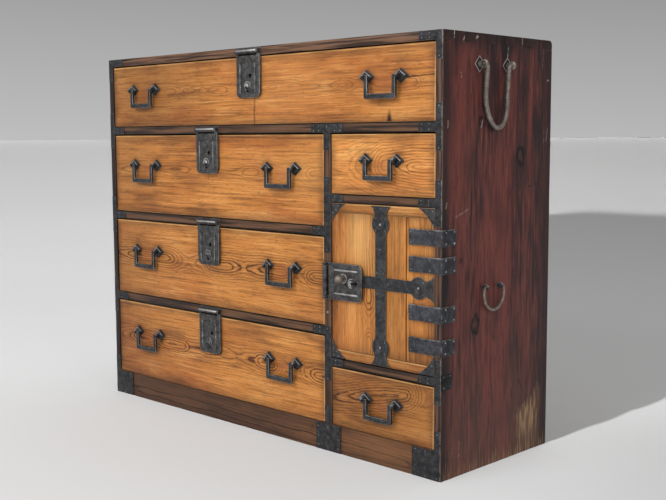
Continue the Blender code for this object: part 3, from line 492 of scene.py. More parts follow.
def lacquer(name, along, seed, marks=(), relief=0.0003, contrast=(0.41, 0.59)):
    """Red-brown lacquer that is black towards the front, back and top of the case."""
    finish, place = new_finish(name)
    _, y, z = axes_of(place)
    thin = clouds(place, lengthwise(along, 240, 5), 3, seed)
    band = clouds(place, lengthwise(along, 26, 1.6), 3, seed + 2)
    blot = clouds(place, (9, 9, 5), 3, seed + 4)
    specks = clouds(place, (700, 700, 500), 2, seed + 6)
    fibre = clouds(place, lengthwise(along, 125, 13), 3, seed + 8)
    ticks = fade(clouds(place, lengthwise(along, 165, 24), 2, seed + 10), 0.58, 0.70)
    broad = clouds(place, lengthwise(along, 7, 1.4), 2, seed + 12)
    red = fade(thin * 0.15 + fibre * 0.45 + band * 0.2 + broad * 0.2, *contrast)
    foot = fade(z + (band - 0.5) * 0.5, 0.34, 0.0)
    reach = least((y - POST) * 0.9, (BACK - y) * 0.55, (TOP - z) * 0.8) + (thin - 0.5) * 0.03
    chips = fade(wear_and_light_of(place) + (blot - 0.5) * 2.4 + (specks - 0.5) * 0.7, 0.85, 1.25)
    colour = layered(
        srgb(38, 25, 27),
        (red, srgb(102, 54, 47)), (fade(fibre, 0.58, 0.74) * 0.5, srgb(132, 68, 54)),
        (fade(broad, 0.50, 0.68) * 0.3, srgb(116, 54, 47)), (fade(broad, 0.48, 0.32) * 0.5, srgb(44, 30, 32)),
        (fade(blot, 0.50, 0.34) * 0.45, srgb(42, 29, 29)), (ticks * 0.55, srgb(26, 18, 20)),
        (foot * 0.35, srgb(112, 80, 70)), (fade(reach, 0.040, 0.002) * 0.8, BLACK),
        *[mark(place) for mark in marks], (chips * 0.5, srgb(150, 136, 122)))
    return complete(finish, colour, 0.42 + specks * 0.2 + foot * 0.12, thin * 0.4 + specks * 0.6, relief,
                    Specular_IOR_Level=0.22)


# %% Marks in the lacquer
def front_edge(dark, light, stretch):
    """The front edge of a board, where the lacquer is gone and the wood shows."""
    def mark(place):
        thin = clouds(place, stretch, 3, 12.0)
        bare = fade(axes_of(place)[1], FACE + 1.6 * MM, FACE + 0.6 * MM)
        return bare * 0.9, mixed(fade(thin, 0.38, 0.62), dark, light)
    return mark


def knot(y, z, wide, tall, strength):
    """A dark knot in the side: a black rim, broken here and there, round a brown heart."""
    def mark(place):
        moved = place.node("Mapping", None, {"Vector": place, "Scale": (0, 1 / wide, 1 / tall),
                                             "Location": (0, -y / wide, -z / tall)})
        away = moved.vector("LENGTH", moved, out=1) + (clouds(place, (110, 110, 60), 3, z * 9) - 0.5) * 1.3
        return fade(away, 1.0, 0.75) * strength, mixed(fade(away, 0.55, 0.25), srgb(9, 8, 9), srgb(74, 44, 40))
    return mark


def side_stain(y, z, wide, tall, *look):
    return stain((CASE, y, z), (0.02, wide, tall), *look)


def side_scratch(start, end, width, *look):
    """A scratch on the right side, as wide as that many mm."""
    return scratch((CASE, *start), (CASE, *end), width * MM, *look)


def bare_corner(place):
    """Bare wood at the foot of the back corner, broken up along the grain."""
    torn = clouds(place, (130, 130, 14), 3, 8.0)
    streaks = clouds(place, (300, 300, 16), 3, 9.0)
    _, depth, level = axes_of(place)
    head = level - (depth - 0.09) * 0.55 + (torn - 0.5) * 0.10  # the upper edge rises towards the back
    area = fade(depth + (torn - 0.5) * 0.012, 0.084, 0.090) * fade(depth + (streaks - 0.5) * 0.05, 0.185, 0.150)
    area = area * fade(head, 0.098, 0.086) * (0.35 + fade(level, 0.015, 0.065) * 0.65)
    return area * fade(streaks, 0.36, 0.54), mixed(fade(torn, 0.4, 0.62), srgb(104, 82, 66), srgb(158, 126, 90))


def scuffed_foot(place):
    """Thin pale scuffs along the bottom edge."""
    torn = clouds(place, (300, 300, 12), 3, 9.0)
    return fade(torn + fade(axes_of(place)[2], 0.07, 0.0) * 0.22, 0.70, 0.84) * 0.7, BARE


# %% The right side, mark by mark
BARE, PALE = srgb(146, 116, 84), srgb(176, 168, 158)
DRIP, HANDLE_SHADOW, DENT = srgb(36, 25, 28), srgb(16, 13, 14), srgb(20, 17, 18)
side_marks = [
    side_stain(0.1217, 0.70, 0.011, 0.18, srgb(134, 60, 46), 0.5),
    side_stain(-0.119, 0.72, 0.012, 0.12, srgb(126, 60, 48), 0.4),
    side_stain(-0.004, 0.80, 0.020, 0.10, srgb(34, 24, 27), 0.65, 0.2),
    side_stain(0.078, 0.74, 0.012, 0.14, DRIP, 0.6),
    side_stain(-0.092, 0.79, 0.009, 0.10, DRIP, 0.55),
    knot(0.0893, 0.637, 0.018, 0.024, 0.95), knot(-0.0627, 0.301, 0.016, 0.022, 0.9),
    knot(-0.0495, 0.7065, 0.011, 0.014, 0.8), knot(-0.1113, 0.435, 0.006, 0.007, 0.7),
    # Dark patches under the hinges: dirt, with painted shade below the hinge leaves.
    side_stain(-0.172, 0.405, 0.026, 0.075, srgb(20, 18, 19), 0.9, 0.7),  # under the hinges
    side_stain(-0.170, 0.50, 0.022, 0.06, BLACK, 0.7, 0.4),
    side_stain(-0.172, 0.215, 0.024, 0.06, srgb(24, 21, 22), 0.85, 0.6),
    side_stain(-0.170, 0.03, 0.030, 0.04, BLACK, 0.7, 0.4),
    side_scratch((-0.1271, 0.5203), (-0.0878, 0.5362), 3.0, PALE, 0.28, 0.012),
    side_scratch((-0.1563, 0.5501), (-0.1590, 0.5400), 2.4, PALE, 0.5, 0.008),
    side_scratch((-0.112, 0.075), (-0.113, 0.030), 1.4, BARE, 0.8, 0.006),
    side_scratch((-0.135, 0.062), (-0.136, 0.045), 1.2, BARE, 0.7, 0.004),
    side_stain(0.028, 0.85, 0.014, 0.06, srgb(18, 16, 18), 0.9, 0.4),
    side_scratch((-0.0435, 0.80), (-0.0435, 0.738), 5.5, HANDLE_SHADOW, 0.8, 0.004, True),  # painted shadow beside the handle's arms
    side_scratch((-0.0435, 0.738), (-0.012, 0.690), 6, HANDLE_SHADOW, 0.8, 0.004, True),
    side_scratch((0.0335, 0.80), (0.0320, 0.735), 4, HANDLE_SHADOW, 0.7, 0.004),
    side_scratch((-0.115, 0.801), (-0.113, 0.792), 2, PALE, 0.5, 0.003),
    side_scratch((0.0425, 0.866), (0.0385, 0.838), 1.6, PALE, 0.8, 0.003),
    side_scratch((0.0906, 0.878), (0.0906, 0.858), 1.6, PALE, 0.6),
    side_scratch((-0.1369, 0.880), (-0.1369, 0.866), 1.4, PALE, 0.9, 0.001),
    side_scratch((-0.109, 0.864), (-0.097, 0.876), 2.6, PALE, 0.8, 0.012),
    side_scratch((-0.072, 0.866), (-0.062, 0.874), 3.2, PALE, 0.8, 0.010),
    side_scratch((0.106, 0.874), (0.110, 0.870), 3, PALE, 0.5, 0.010),
    side_scratch((0.168, 0.86), (0.166, 0.82), 2, PALE, 0.25, 0.012),
    side_scratch((0.176, 0.69), (0.172, 0.66), 2.4, PALE, 0.3, 0.014),
    side_scratch((-0.1671, 0.861), (-0.118, 0.861), 1.2, srgb(14, 12, 13), 0.8, 0.001),
    side_scratch((-0.0433, 0.7108), (-0.0480, 0.697), 2.2, PALE, 0.55, 0.006, True),
    side_scratch((0.185, 0.7962), (0.190, 0.7965), 2.6, PALE, 0.5, 0.004, True),
    side_scratch((0.189, 0.692), (0.182, 0.6664), 2.2, PALE, 0.45, 0.008),
    side_scratch((0.1185, 0.5731), (0.1568, 0.5785), 2.4, srgb(22, 17, 18), 0.8, 0.010),
    side_scratch((0.0918, 0.1636), (0.1113, 0.1318), 2.4, DENT, 0.8, 0.012),
    side_scratch((0.0663, 0.1485), (0.0686, 0.1287), 2.2, DENT, 0.7, 0.008),
    side_scratch((-0.1552, 0.707), (-0.1550, 0.695), 2.4, PALE, 0.4, 0.004, True),
]
UPRIGHT, LEVEL = (230, 60, 9), (7, 60, 230)
post_edge = front_edge(srgb(42, 31, 28), srgb(104, 76, 62), UPRIGHT)
right_lacquer = lacquer("right_lacquer", "z", 0.0, side_marks + [bare_corner, scuffed_foot, post_edge])
left_edge = front_edge(srgb(30, 25, 25), srgb(56, 44, 41), UPRIGHT)
left_lacquer = lacquer("left_lacquer", "z", 4.0, [scuffed_foot, left_edge])
top_edge = front_edge(srgb(54, 39, 32), srgb(126, 92, 70), LEVEL)
top_lacquer = lacquer("top_lacquer", "x", 7.0, [top_edge], 0.00003, (0.20, 0.80))
print("lacquer with", len(side_marks) + 2, "marks on the right side")

# %% [markdown]
# ## Forged iron
# The fittings are hand-forged iron, blackened and then rubbed bright along the edges. Roughness, speckle and a
# little rust come from noise; the bright arrises come from the wear that each piece carries along its edges.

# %% Iron finishes
def iron(name, dark, light, bright, seed, rough=0.46, metal=0.75, corner=False, highlit_rims=()):
    """Forged iron; with a corner, what lies along the right corner of the case is rubbed bright too, and what lies
    just below the levels of its rims gets a painted highlight."""
    finish, place = new_finish(name)
    x, _, z = axes_of(place)
    beaten = clouds(place, (85, 85, 85), 2, seed)
    pits = clouds(place, (620, 620, 620), 2, seed + 2)
    rust = fade(clouds(place, (38, 38, 38), 4, seed + 4), 0.56, 0.72)
    rub = fade(wear_and_light_of(place) + (pits - 0.5) * 1.0 + (beaten - 0.5) * 0.6, 0.35, 0.85)
    if corner:
        line = fade(x, CASE - 2.0 * MM, CASE - 1.0 * MM) * fade(x, CASE + 0.2 * MM, CASE - 0.2 * MM)
        rub = most(rub, line * fade(beaten + pits * 0.5, 0.5, 0.9) * 0.7)
    for rim in highlit_rims:
        line = fade(z, rim - 3.2 * MM, rim - 1.6 * MM) * fade(z, rim + 0.4 * MM, rim)
        rub = most(rub, line * fade(beaten * 0.7 + pits * 0.3, 0.36, 0.60) * 0.7)
    colour = layered(dark, (fade(pits * 0.55 + beaten * 0.45, 0.38, 0.66), light), (rust * 0.3, srgb(88, 66, 54)),
                     (rub * 0.75, bright), (fade(wear_and_light_of(place), -0.1, -0.9), grey(8)))
    return complete(finish, colour, rough + pits * 0.2 - rub * 0.12, beaten * 0.5 + pits * 0.5, 0.0006, Metallic=metal)


black_iron = iron("black_iron", srgb(46, 47, 50), srgb(85, 86, 88), srgb(176, 175, 172), 0.0)
case_iron = iron("case_iron", srgb(38, 39, 42), srgb(80, 80, 82), srgb(168, 167, 166), 1.0, corner=True)
lock_iron = iron("lock_iron", srgb(52, 52, 53), srgb(104, 103, 102), srgb(204, 203, 201), 7.0)
dull_nail = iron("dull_nail", srgb(70, 70, 72), srgb(150, 149, 146), srgb(190, 188, 184), 6.0, 0.40, 0.6)
grey_iron = iron("grey_iron", srgb(108, 101, 94), srgb(160, 152, 143), srgb(205, 198, 188), 3.0, 0.42)
nail_iron = iron("nail_iron", srgb(104, 104, 106), srgb(196, 196, 194), srgb(235, 232, 226), 5.0, 0.34, 0.6)
pit_black, dark_place = new_finish("pit_black")
soot = clouds(dark_place, (300, 300, 300), 2)
complete(pit_black, mixed(soot, srgb(10, 9, 9), srgb(26, 22, 20)), 0.8 + soot * 0.1, soot, 0.0002,
         Specular_IOR_Level=0.03)
print("irons:", black_iron.name, grey_iron.name, nail_iron.name)

# %% [markdown]
# ## Shapes
# Pieces are built as points and faces that can be added together, turned and placed. Each shape also keeps how worn
# its points are, with painted highlights and shade, which is all that a finish needs to know of it.

# %% A shape and what it is made of
ON_FRONT = Euler((math.pi / 2, 0, 0))  # a fitting's X along the face, its Y up and its Z out of the face
ON_RIGHT = Euler((math.pi / 2, 0, math.pi / 2))
ON_LEFT = Euler((math.pi / 2, 0, -math.pi / 2))
LYING = Euler((math.pi / 2, -math.pi / 2, 0))


class Shape:
    """Points, faces and how worn each point is, with painted highlight and shade."""

    def __init__(self, points, faces, wear):
        self.points, self.faces, self.wear = points, faces, wear

    def __add__(self, other):
        start = len(self.points)
        return Shape(self.points + other.points,
                     self.faces + [tuple(i + start for i in face) for face in other.faces], self.wear + other.wear)

    def put(self, at=(0, 0, 0), turn=None):
        matrix = Matrix.Translation(at) @ (turn.to_matrix().to_4x4() if turn else Matrix())
        return Shape([matrix @ p for p in self.points], self.faces, self.wear)

    def rubbed(self, rule):
        """The same shape, its wear changed by a rule of the wear so far and the point."""
        return Shape(self.points, self.faces, [rule(w, p) for w, p in zip(self.wear, self.points)])


def together(shapes):
    first, *others = shapes
    return sum(others, first)


def read(form, worn=()):
    """A bmesh as a shape, with its faces turned outwards."""
    bmesh.ops.recalc_face_normals(form, faces=form.faces)
    form.verts.index_update()
    worn = {v.index for v in worn}
    shape = Shape([v.co.copy() for v in form.verts], [tuple(v.index for v in f.verts) for f in form.faces],
                  [1.0 if v.index in worn else 0.0 for v in form.verts])
    form.free()
    return shape


# %% Outlines
def mm(*points):
    """Points in millimetres, made metres."""
    return [tuple(c * MM for c in point) for point in points]


def circle(count):
    """The angles of so many points round a circle."""
    return [2 * math.pi * k / count for k in range(count)]


def arc(centre, radii, start, end, steps=12):
    """Points on an arc or an ellipse, with its angles in degrees."""
    wide, tall = radii if isinstance(radii, tuple) else (radii, radii)
    turns = [math.radians(start + (end - start) * i / steps) for i in range(steps + 1)]
    return [(centre[0] + wide * math.cos(a), centre[1] + tall * math.sin(a)) for a in turns]


def mirrored(points):
    """The right half of an outline, closed by its mirror image."""
    return points + [(-x, y) for x, y in reversed(points)]


# %% Solids over outlines
def soften(form, edges, width):
    """Takes the edges off in two steps. The middle line of each is what hands have rubbed."""
    made = bmesh.ops.bevel(form, geom=edges, offset=width, offset_type="OFFSET", segments=2, profile=0.5,
                           affect="EDGES", clamp_overlap=True)
    strips = set(made["faces"])
    return [v for v in made["verts"] if v.is_valid and all(f in strips for f in v.link_faces)]


def drawn_out(outline, low, high):
    """A bmesh of a flat outline, drawn out from low to high."""
    form = bmesh.new()
    rings = [[form.verts.new((x, y, z)) for x, y in outline] for z in (low, high)]
    for ring in rings:
        form.faces.new(ring)
    for i in range(len(outline)):
        j = (i + 1) % len(outline)
        form.faces.new((rings[0][i], rings[0][j], rings[1][j], rings[1][i]))
    bmesh.ops.recalc_face_normals(form, faces=form.faces)
    return form


def worn_off(form, edge, angle):
    """A bmesh as a shape, with every edge that turns by more than the angle worn off."""
    sharp = [e for e in form.edges if e.calc_face_angle(0) > math.radians(angle)]
    return read(form, soften(form, sharp, edge))


def prism(outline, low, high, edge=0.4 * MM):
    return worn_off(drawn_out(outline, low, high), edge, 24)


# %% Skins over rings
def lofted(rings, worn=(), closed=False):
    """A skin over rings of points, capped at both ends; worn gives the wear of some rings."""
    form = bmesh.new()
    loops = [[form.verts.new(p) for p in ring] for ring in rings]
    for first, second in zip(loops, loops[1:] + ([loops[0]] if closed else [])):
        for i in range(len(first)):
            j = (i + 1) % len(first)
            form.faces.new((first[i], first[j], second[j], second[i]))
    if not closed:
        form.faces.new(loops[0])
        form.faces.new(loops[-1])
    shape = read(form)
    size = len(rings[0])
    for number, value in dict(worn).items():
        shape.wear[number * size:(number + 1) * size] = [value] * size
    return shape


def turned(profile, sides=24, worn=(), axis="Z", closed=False):
    """A profile of (radius, level) turned round an axis; a closed one makes a tube."""
    places = {"X": lambda u, v, level: (level, u, v), "Y": lambda u, v, level: (u, level, v),
              "Z": lambda u, v, level: (u, v, level)}[axis]
    rings = []
    for radius, level in profile:
        radius = max(radius, 0.02 * MM)
        rings.append([Vector(places(radius * math.cos(a), radius * math.sin(a), level)) for a in circle(sides)])
    return lofted(rings, worn, closed)


def tube(path, radius, sides=14):
    """A bar bent along a path of (x, y, lift, share of the radius), with rounded ends."""
    points = [Vector(p[:3]) for p in path]
    ends = ((0, 0.25), (0.45 * radius, 0.8), (radius, 1.0))
    steps = [ends] + [[(0, 1.0)]] * (len(path) - 2) + [[(-d, s) for d, s in reversed(ends)]]
    rings = []
    for i, point in enumerate(points):
        ahead = points[min(i + 1, len(points) - 1)] - points[max(i - 1, 0)]
        ahead.normalize()
        side = Vector((-ahead.y, ahead.x, 0))
        swell = 1 + 0.05 * noise.noise(point * 70)
        for shift, size in steps[i]:
            rings.append([point + ahead * shift + (side * math.cos(a) + Vector((0, 0, 1)) * math.sin(a))
                          * radius * size * path[i][3] * swell for a in circle(sides)])
    return lofted(rings)


# %% Boards
def plank(low, high, along=0, edge=1.0 * MM, seed=0):
    """A board whose arrises are worn more in some places than in others."""
    low, high = Vector(low), Vector(high)
    b, c = (along + 1) % 3, (along + 2) % 3
    length = high[along] - low[along]
    count = max(2, int(length / 0.022))
    runs = [(0, 1.0), (edge * 0.3, 0.3), (edge, 0.0)]
    runs += [(edge + (length - 2 * edge) * i / count, 0.0) for i in range(1, count)]
    runs += [(length - d, s) for d, s in reversed(runs[:3])]
    rings = []
    for distance, inset in runs:
        ring = []
        for k, (sb, sc) in enumerate(((-1, -1), (1, -1), (1, 1), (-1, 1))):
            spin = noise.noise(Vector((distance * 9, seed * 3.7 + k * 5.1, 0.3)))
            fine = noise.noise(Vector((distance * 60, seed * 1.3 + k * 2.2, 4.1)))
            r = edge * max(0.35, 0.9 + 0.7 * spin + 0.35 * fine)
            corner_b = (high if sb > 0 else low)[b] - sb * inset * edge
            corner_c = (high if sc > 0 else low)[c] - sc * inset * edge
            steps = ((0, r), (0.3 * r, 0.3 * r), (r, 0))
            if (sb > 0) == (sc > 0):
                steps = steps[::-1]
            for db, dc in steps:
                point = Vector((0, 0, 0))
                point[along] = low[along] + distance
                point[b] = corner_b - sb * db
                point[c] = corner_c - sc * dc
                ring.append(point)
        rings.append(ring)
    shape = lofted(rings)
    shape.wear = [1.0 if i % 3 == 1 or (i // 12) in (1, len(rings) - 2) else 0.0 for i in range(len(shape.points))]
    return shape


print("shapes: prism, loft, turned, tube, plank")

# %% [markdown]
# Every finished piece goes through one function: its mesh gets its finish and its wear, it rides on the body that
# carries it, and the solids of the frame that it stands for are hidden.

# %% Putting a piece on its body
def settle(made, finish, body, stands_for=()):
    made.data.materials.clear()
    made.data.materials.append(finish)
    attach(made, body)
    if stands_for:
        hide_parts(*stands_for)
    return made


CREASE = math.radians(40)  # edges that turn by more stay sharp
WHOLE_SIDE = 0.02  # square metres; a face as large as that stays flat, however its edges are rounded


def object_of(name, shape):
    mesh = bpy.data.meshes.new(name)
    mesh.from_pydata([tuple(p) for p in shape.points], [], shape.faces)
    mesh.attributes.new("wear", "FLOAT", "POINT").data.foreach_set("value", shape.wear)
    mesh.set_sharp_from_angle(angle=CREASE)
    for face in mesh.polygons:
        face.use_smooth = face.area < WHOLE_SIDE
    mesh.update()
    made = bpy.data.objects.new(name, mesh)
    scene.collection.objects.link(made)
    return made


def piece(name, shape, finish, body, slot, *stands_for):
    return settle(object_of(name, shape), finish, body, stands_for)


# %% [markdown]
# ## Nails and roses on points
# Nails come in dozens and the diamond roses in twos, all alike. Each is modelled once; a Geometry Nodes tree then
# seats a copy on every point, turned as the point says and a little larger or smaller, and realizes them into one
# plain mesh for each body.

# %% A tree that seats a fitting on each point
def seating_tree():
    tree = bpy.data.node_groups.new("seat_on_points", "GeometryNodeTree")
    names = {}
    for name, kind in (("Points", "Geometry"), ("Fitting", "Object"), ("Size Spread", "Float"), ("Seed", "Int"),
                       ("Finish", "Material")):
        names[name] = tree.interface.new_socket(name, in_out="INPUT", socket_type="NodeSocket" + kind).identifier
    tree.interface.new_socket("Fitted", in_out="OUTPUT", socket_type="NodeSocketGeometry")

    def add(kind, settings=None, **sockets):
        made = tree.nodes.new(kind)
        for key, value in (settings or {}).items():
            setattr(made, key, value)
        for key, value in sockets.items():
            socket = made.inputs[int(key[1:])] if key[1:].isdigit() else made.inputs[key.replace("_", " ")]
            if isinstance(value, bpy.types.NodeSocket):
                tree.links.new(value, socket)
            else:
                socket.default_value = value
        return made

    given = add("NodeGroupInput").outputs
    fitting = add("GeometryNodeObjectInfo", Object=given["Fitting"])
    turn = add("GeometryNodeInputNamedAttribute", {"data_type": "FLOAT_VECTOR"}, Name="turn")
    spin = add("FunctionNodeEulerToRotation", Euler=turn.outputs[0])
    size = add("GeometryNodeInputNamedAttribute", {"data_type": "FLOAT"}, Name="size")
    small = add("ShaderNodeMath", {"operation": "SUBTRACT"}, _0=1.0, _1=given["Size Spread"])
    large = add("ShaderNodeMath", {"operation": "ADD"}, _0=1.0, _1=given["Size Spread"])
    luck = add("FunctionNodeRandomValue", {"data_type": "FLOAT"}, _2=small.outputs[0], _3=large.outputs[0],
               Seed=given["Seed"])
    scale = add("ShaderNodeMath", {"operation": "MULTIPLY"}, _0=size.outputs[0], _1=luck.outputs[1])
    copies = add("GeometryNodeInstanceOnPoints", Points=given["Points"], Instance=fitting.outputs["Geometry"],
                 Rotation=spin.outputs[0], Scale=scale.outputs[0])
    real = add("GeometryNodeRealizeInstances", Geometry=copies.outputs[0])
    painted = add("GeometryNodeSetMaterial", Geometry=real.outputs[0], Material=given["Finish"])
    add("NodeGroupOutput", Fitted=painted.outputs[0])
    return tree, names


SEATING, SEATING_NAMES = seating_tree()


# %% Seats and nails
def seated(name, fitting, seats, finish, body, spread=0.0, seed=1):
    """One mesh of a fitting on its seats: (point, turn, size)."""
    mesh = bpy.data.meshes.new(name + "_seats")
    mesh.from_pydata([tuple(at) for at, _, _ in seats], [], [])
    turns = mesh.attributes.new("turn", "FLOAT_VECTOR", "POINT")
    turns.data.foreach_set("vector", [c for _, turn, _ in seats for c in turn])
    mesh.attributes.new("size", "FLOAT", "POINT").data.foreach_set("value", [size for _, _, size in seats])
    points = bpy.data.objects.new(name + "_seats", mesh)
    scene.collection.objects.link(points)
    seat = points.modifiers.new("seat", "NODES")
    seat.node_group = SEATING
    for key, value in (("Fitting", fitting), ("Size Spread", spread), ("Seed", seed), ("Finish", finish)):
        seat[SEATING_NAMES[key]] = value
    graph = bpy.context.evaluated_depsgraph_get()
    made = bpy.data.objects.new(name, bpy.data.meshes.new_from_object(points.evaluated_get(graph)))
    made.data.name = name
    for spare in ("turn", "size"):
        if spare in made.data.attributes:
            made.data.attributes.remove(made.data.attributes[spare])
    bpy.data.objects.remove(points)
    scene.collection.objects.link(made)
    return settle(made, finish, body)


NAILS = {}


def nail(body, at, turn, size=0.8, finish=dull_nail):
    """Notes a nail head for its body."""
    NAILS.setdefault((body, finish), []).append((Vector(at), turn, size))


print("seating tree with inputs", sorted(SEATING_NAMES))

# %% [markdown]
# ## Sides and top
# The two sides and the top meet in eleven finger joints. Each board is an outline with its comb of fingers, drawn
# out to the board's thickness; the back edge of the top is rounded off, as years of lifting have left it.

# %% Side boards and top
FINGERS = 11
BOARD_EDGE = 0.9 * MM


def fingers(owned, low, high):
    """A comb along the depth of the case: (Y, level)."""
    step = (BACK - POST) / FINGERS
    points, start = [], 0
    for i in range(FINGERS):
        own = i % 2 == owned
        end = BACK - POST if i == FINGERS - 1 else (i + 1) * step + (-GAP if own else GAP) / 2
        points += [(POST + start, high if own else low), (POST + end, high if own else low)]
        start = end
    return points


def top_shape():
    half = [(reach, max(y, FACE)) for y, reach in fingers(0, INNER - GAP, CASE)]
    form = drawn_out(mirrored(half), UNDER_TOP, TOP)
    rear = [e for e in form.edges if all(v.co.y > BACK - MM and v.co.z > TOP - MM for v in e.verts)]
    bmesh.ops.bevel(form, geom=rear, offset=9 * MM, offset_type="OFFSET", segments=5, profile=0.5, affect="EDGES")
    return worn_off(form, BOARD_EDGE, 30)


side_outline = [(POST, 0), (BACK, 0)] + fingers(1, UNDER_TOP - GAP, TOP)[::-1]
for name, span, finish in (("right_side", (INNER, CASE), right_lacquer), ("left_side", (-CASE, -INNER), left_lacquer)):
    board = prism(side_outline, *span, BOARD_EDGE).put(turn=ON_RIGHT)
    piece(name + "_board", board, finish, "case", "red_brown_lacquer", name)
piece("top_planks", top_shape(), top_lacquer, "case", "red_brown_lacquer", "top_board")
print("sides", round(CASE - INNER, 4), "thick, top", round(TOP - UNDER_TOP, 4))

# %% [markdown]
# ## Rails, partition, back and floor
# Each rail is one board with the thinner dust board behind it, so one L-shaped outline makes both. The back and the
# floor are several planks side by side, as such cases have them, each with its own slightly uneven edges.

# %% Rails and partition
RAIL_DEPTH, DUST_BOARD, RAIL_EDGE = 30 * MM, 9 * MM, 0.7 * MM
for name, (low, top) in RAILS.items():
    deep, dust = FACE + RAIL_DEPTH, top - DUST_BOARD
    outline = [(FACE, low), (deep, low), (deep, dust), (INSIDE, dust), (INSIDE, top), (FACE, top),
               (FACE, top - 3 * MM), (FACE, low + 4.5 * MM)]
    rail = prism(outline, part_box(name)[0][0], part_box(name)[1][0], RAIL_EDGE).put(turn=ON_RIGHT)
    rail = rail.rubbed(  # painted shade in the gaps: the upper and lower edges of the face go nearly black
        lambda w, p: -1.0 if p.y < FACE + 2 * MM and not low + 1.5 * MM < p.z < top - 1.5 * MM else w)
    piece(name.replace("shelf", "rail"), rail, rail_wood, "case", "dark_frame", name)

upper = RAILS["upper_shelf"]
notch, foot, shoulder, head = FACE + RAIL_DEPTH + GAP, BASE + GAP, upper[1] - DUST_BOARD - GAP, upper[0] - GAP
outline = [(POST, foot), (INSIDE, foot), (INSIDE, shoulder), (notch, shoulder), (notch, head), (POST, head)]
partition = prism(outline, *STILE, RAIL_EDGE).put(turn=ON_RIGHT)
piece("partition_board", partition, stile_wood, "case", "dark_frame", "partition")


# %% Back and floor
def planks(low, high, across, count, along, seed):
    """Boards side by side, of slightly different widths."""
    made, start = [], low[across]
    for i in range(count):
        last = i == count - 1
        share = i + 1 + (0 if last else 0.12 * math.sin(i * 2.4 + seed))
        end = low[across] + (high[across] - low[across]) * share / count
        a, b = list(low), list(high)
        a[across], b[across] = start, end - (0 if last else 0.5 * MM)
        made.append(plank(a, b, along, 0.6 * MM, seed + i))
        start = end
    return together(made)


back = planks(*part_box("back_panel"), across=0, count=6, along=2, seed=3)
piece("back_planks", back, back_wood, "case", "pale_drawer_wood", "back_panel")
bottom = planks(*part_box("bottom_board"), across=1, count=3, along=0, seed=11)
piece("floor_planks", bottom, cross_wood, "case", "pale_drawer_wood", "bottom_board")
print(len(RAILS), "rails, a partition, 6 back planks and 3 floor planks")

# %% [markdown]
# ## Base rail
# The board under the front is the same elm as the drawers, kept dark by feet and mops.

# %% Base rail
def front_stain(x, z, wide, tall, *look, deep=0.03):
    return stain((x, FACE, z), (wide, deep, tall), *look)


def front_scratch(start, end, width, *look):
    """A crack or scratch on the front, as wide as that many mm."""
    return scratch((start[0], FACE, start[1]), (end[0], FACE, end[1]), width * MM, *look)


DIM = (srgb(120, 78, 47), srgb(44, 29, 20), srgb(96, 60, 38), srgb(144, 98, 60))
base_elm = elm("base_elm", (-INNER, 0.0), (INNER, BASE), 0.02, 21.0, tones=DIM,
               marks=[front_stain(0.40, 0.03, 0.15, 0.06, srgb(150, 104, 64), 0.35, deep=0.05),
                      front_stain(-0.35, 0.03, 0.70, 0.12, SOOT_AND_SHADE, 0.5, 0.3, deep=0.05)])
base = plank((GAP - INNER, FACE, 0), (INNER - GAP, FACE + 22 * MM, BASE), 0, 1.0 * MM, 5)
piece("base_board", base, base_elm, "case", "dark_frame", "base_rail")

# %% [markdown]
# ## Joint irons
# Wherever a rail meets a post, a thin iron strip with a tongue along the rail is nailed over the joint. An outline
# function gives the strip with any number of tongues, and the nails are noted while the irons are made.

# %% A joint iron
PROUD = 0.9 * MM
UNDER = -0.7 * MM
INSET = 0.5 * MM  # of an iron from the edges it covers
IRON_EDGE = 0.35 * MM


def tongue(root, tip, foot, top):
    """The outline of a tongue: out along its foot and back along its top."""
    blunt = 1 * MM if tip > root else -1 * MM
    return [(root, foot), (tip - blunt, foot + 0.6 * MM), (tip, foot + 2 * MM), (tip, top - 2 * MM),
            (tip - blunt, top - 0.6 * MM), (root, top)]


def joint_iron(left, right, low, high, *tongues):
    """A strip (x and z) with tongues (tip, low, high), on the front of the case."""
    rising = sorted(tongues, key=lambda t: t[1])
    outline = [(right, low)]
    for one in rising:
        outline += tongue(right, *one) if one[0] > right else []
    outline += [(right, high), (left, high)]
    for one in reversed(rising):
        outline += tongue(left, *one)[::-1] if one[0] < left else []
    outline.append((left, low))
    for tip, foot, top in tongues:
        edge = left if tip < left else right
        for share in (0.18, 0.62):
            for level in (foot + 4.5 * MM, top - 4.5 * MM):
                nail("case", (tip + (edge - tip) * share, POST - PROUD, level), ON_FRONT)
    for level in (low + 6 * MM, high - 6 * MM):
        nail("case", ((left + right) / 2, POST - PROUD, level), ON_FRONT)
    return prism(outline, UNDER, PROUD, IRON_EDGE).put((0, POST, 0), ON_FRONT)


def on_rail(rail, tip):
    return (tip, rail[0] + INSET, rail[1] - INSET)


# %% Irons on the front of the case
REACH = 36 * MM  # of an iron past the rail
BASE_HEAD = BASE + 40 * MM
irons = []
for outward, names in ((1, ("upper_shelf", "right_upper_shelf", "right_lower_shelf")),
                       (-1, ("upper_shelf", "left_upper_shelf", "left_lower_shelf"))):
    post = sorted((outward * (INNER + INSET), outward * (CASE - INSET)))
    tip, base_tip = outward * (INNER - 42 * MM), outward * (INNER - 56 * MM)
    irons.append(joint_iron(*post, INSET, BASE_HEAD, on_rail((0, BASE), base_tip)))
    irons.append(joint_iron(*post, UNDER_TOP - REACH, TOP - INSET, on_rail((UNDER_TOP, TOP), tip)))
    for rail in (RAILS[name] for name in names):
        irons.append(joint_iron(*post, rail[0] - REACH, rail[1] + REACH, on_rail(rail, tip)))
post = (STILE[0] + INSET, STILE[1] - INSET)
left_upper, left_lower, right_upper, right_lower = (
    RAILS[name + "_shelf"] for name in ("left_upper", "left_lower", "right_upper", "right_lower"))
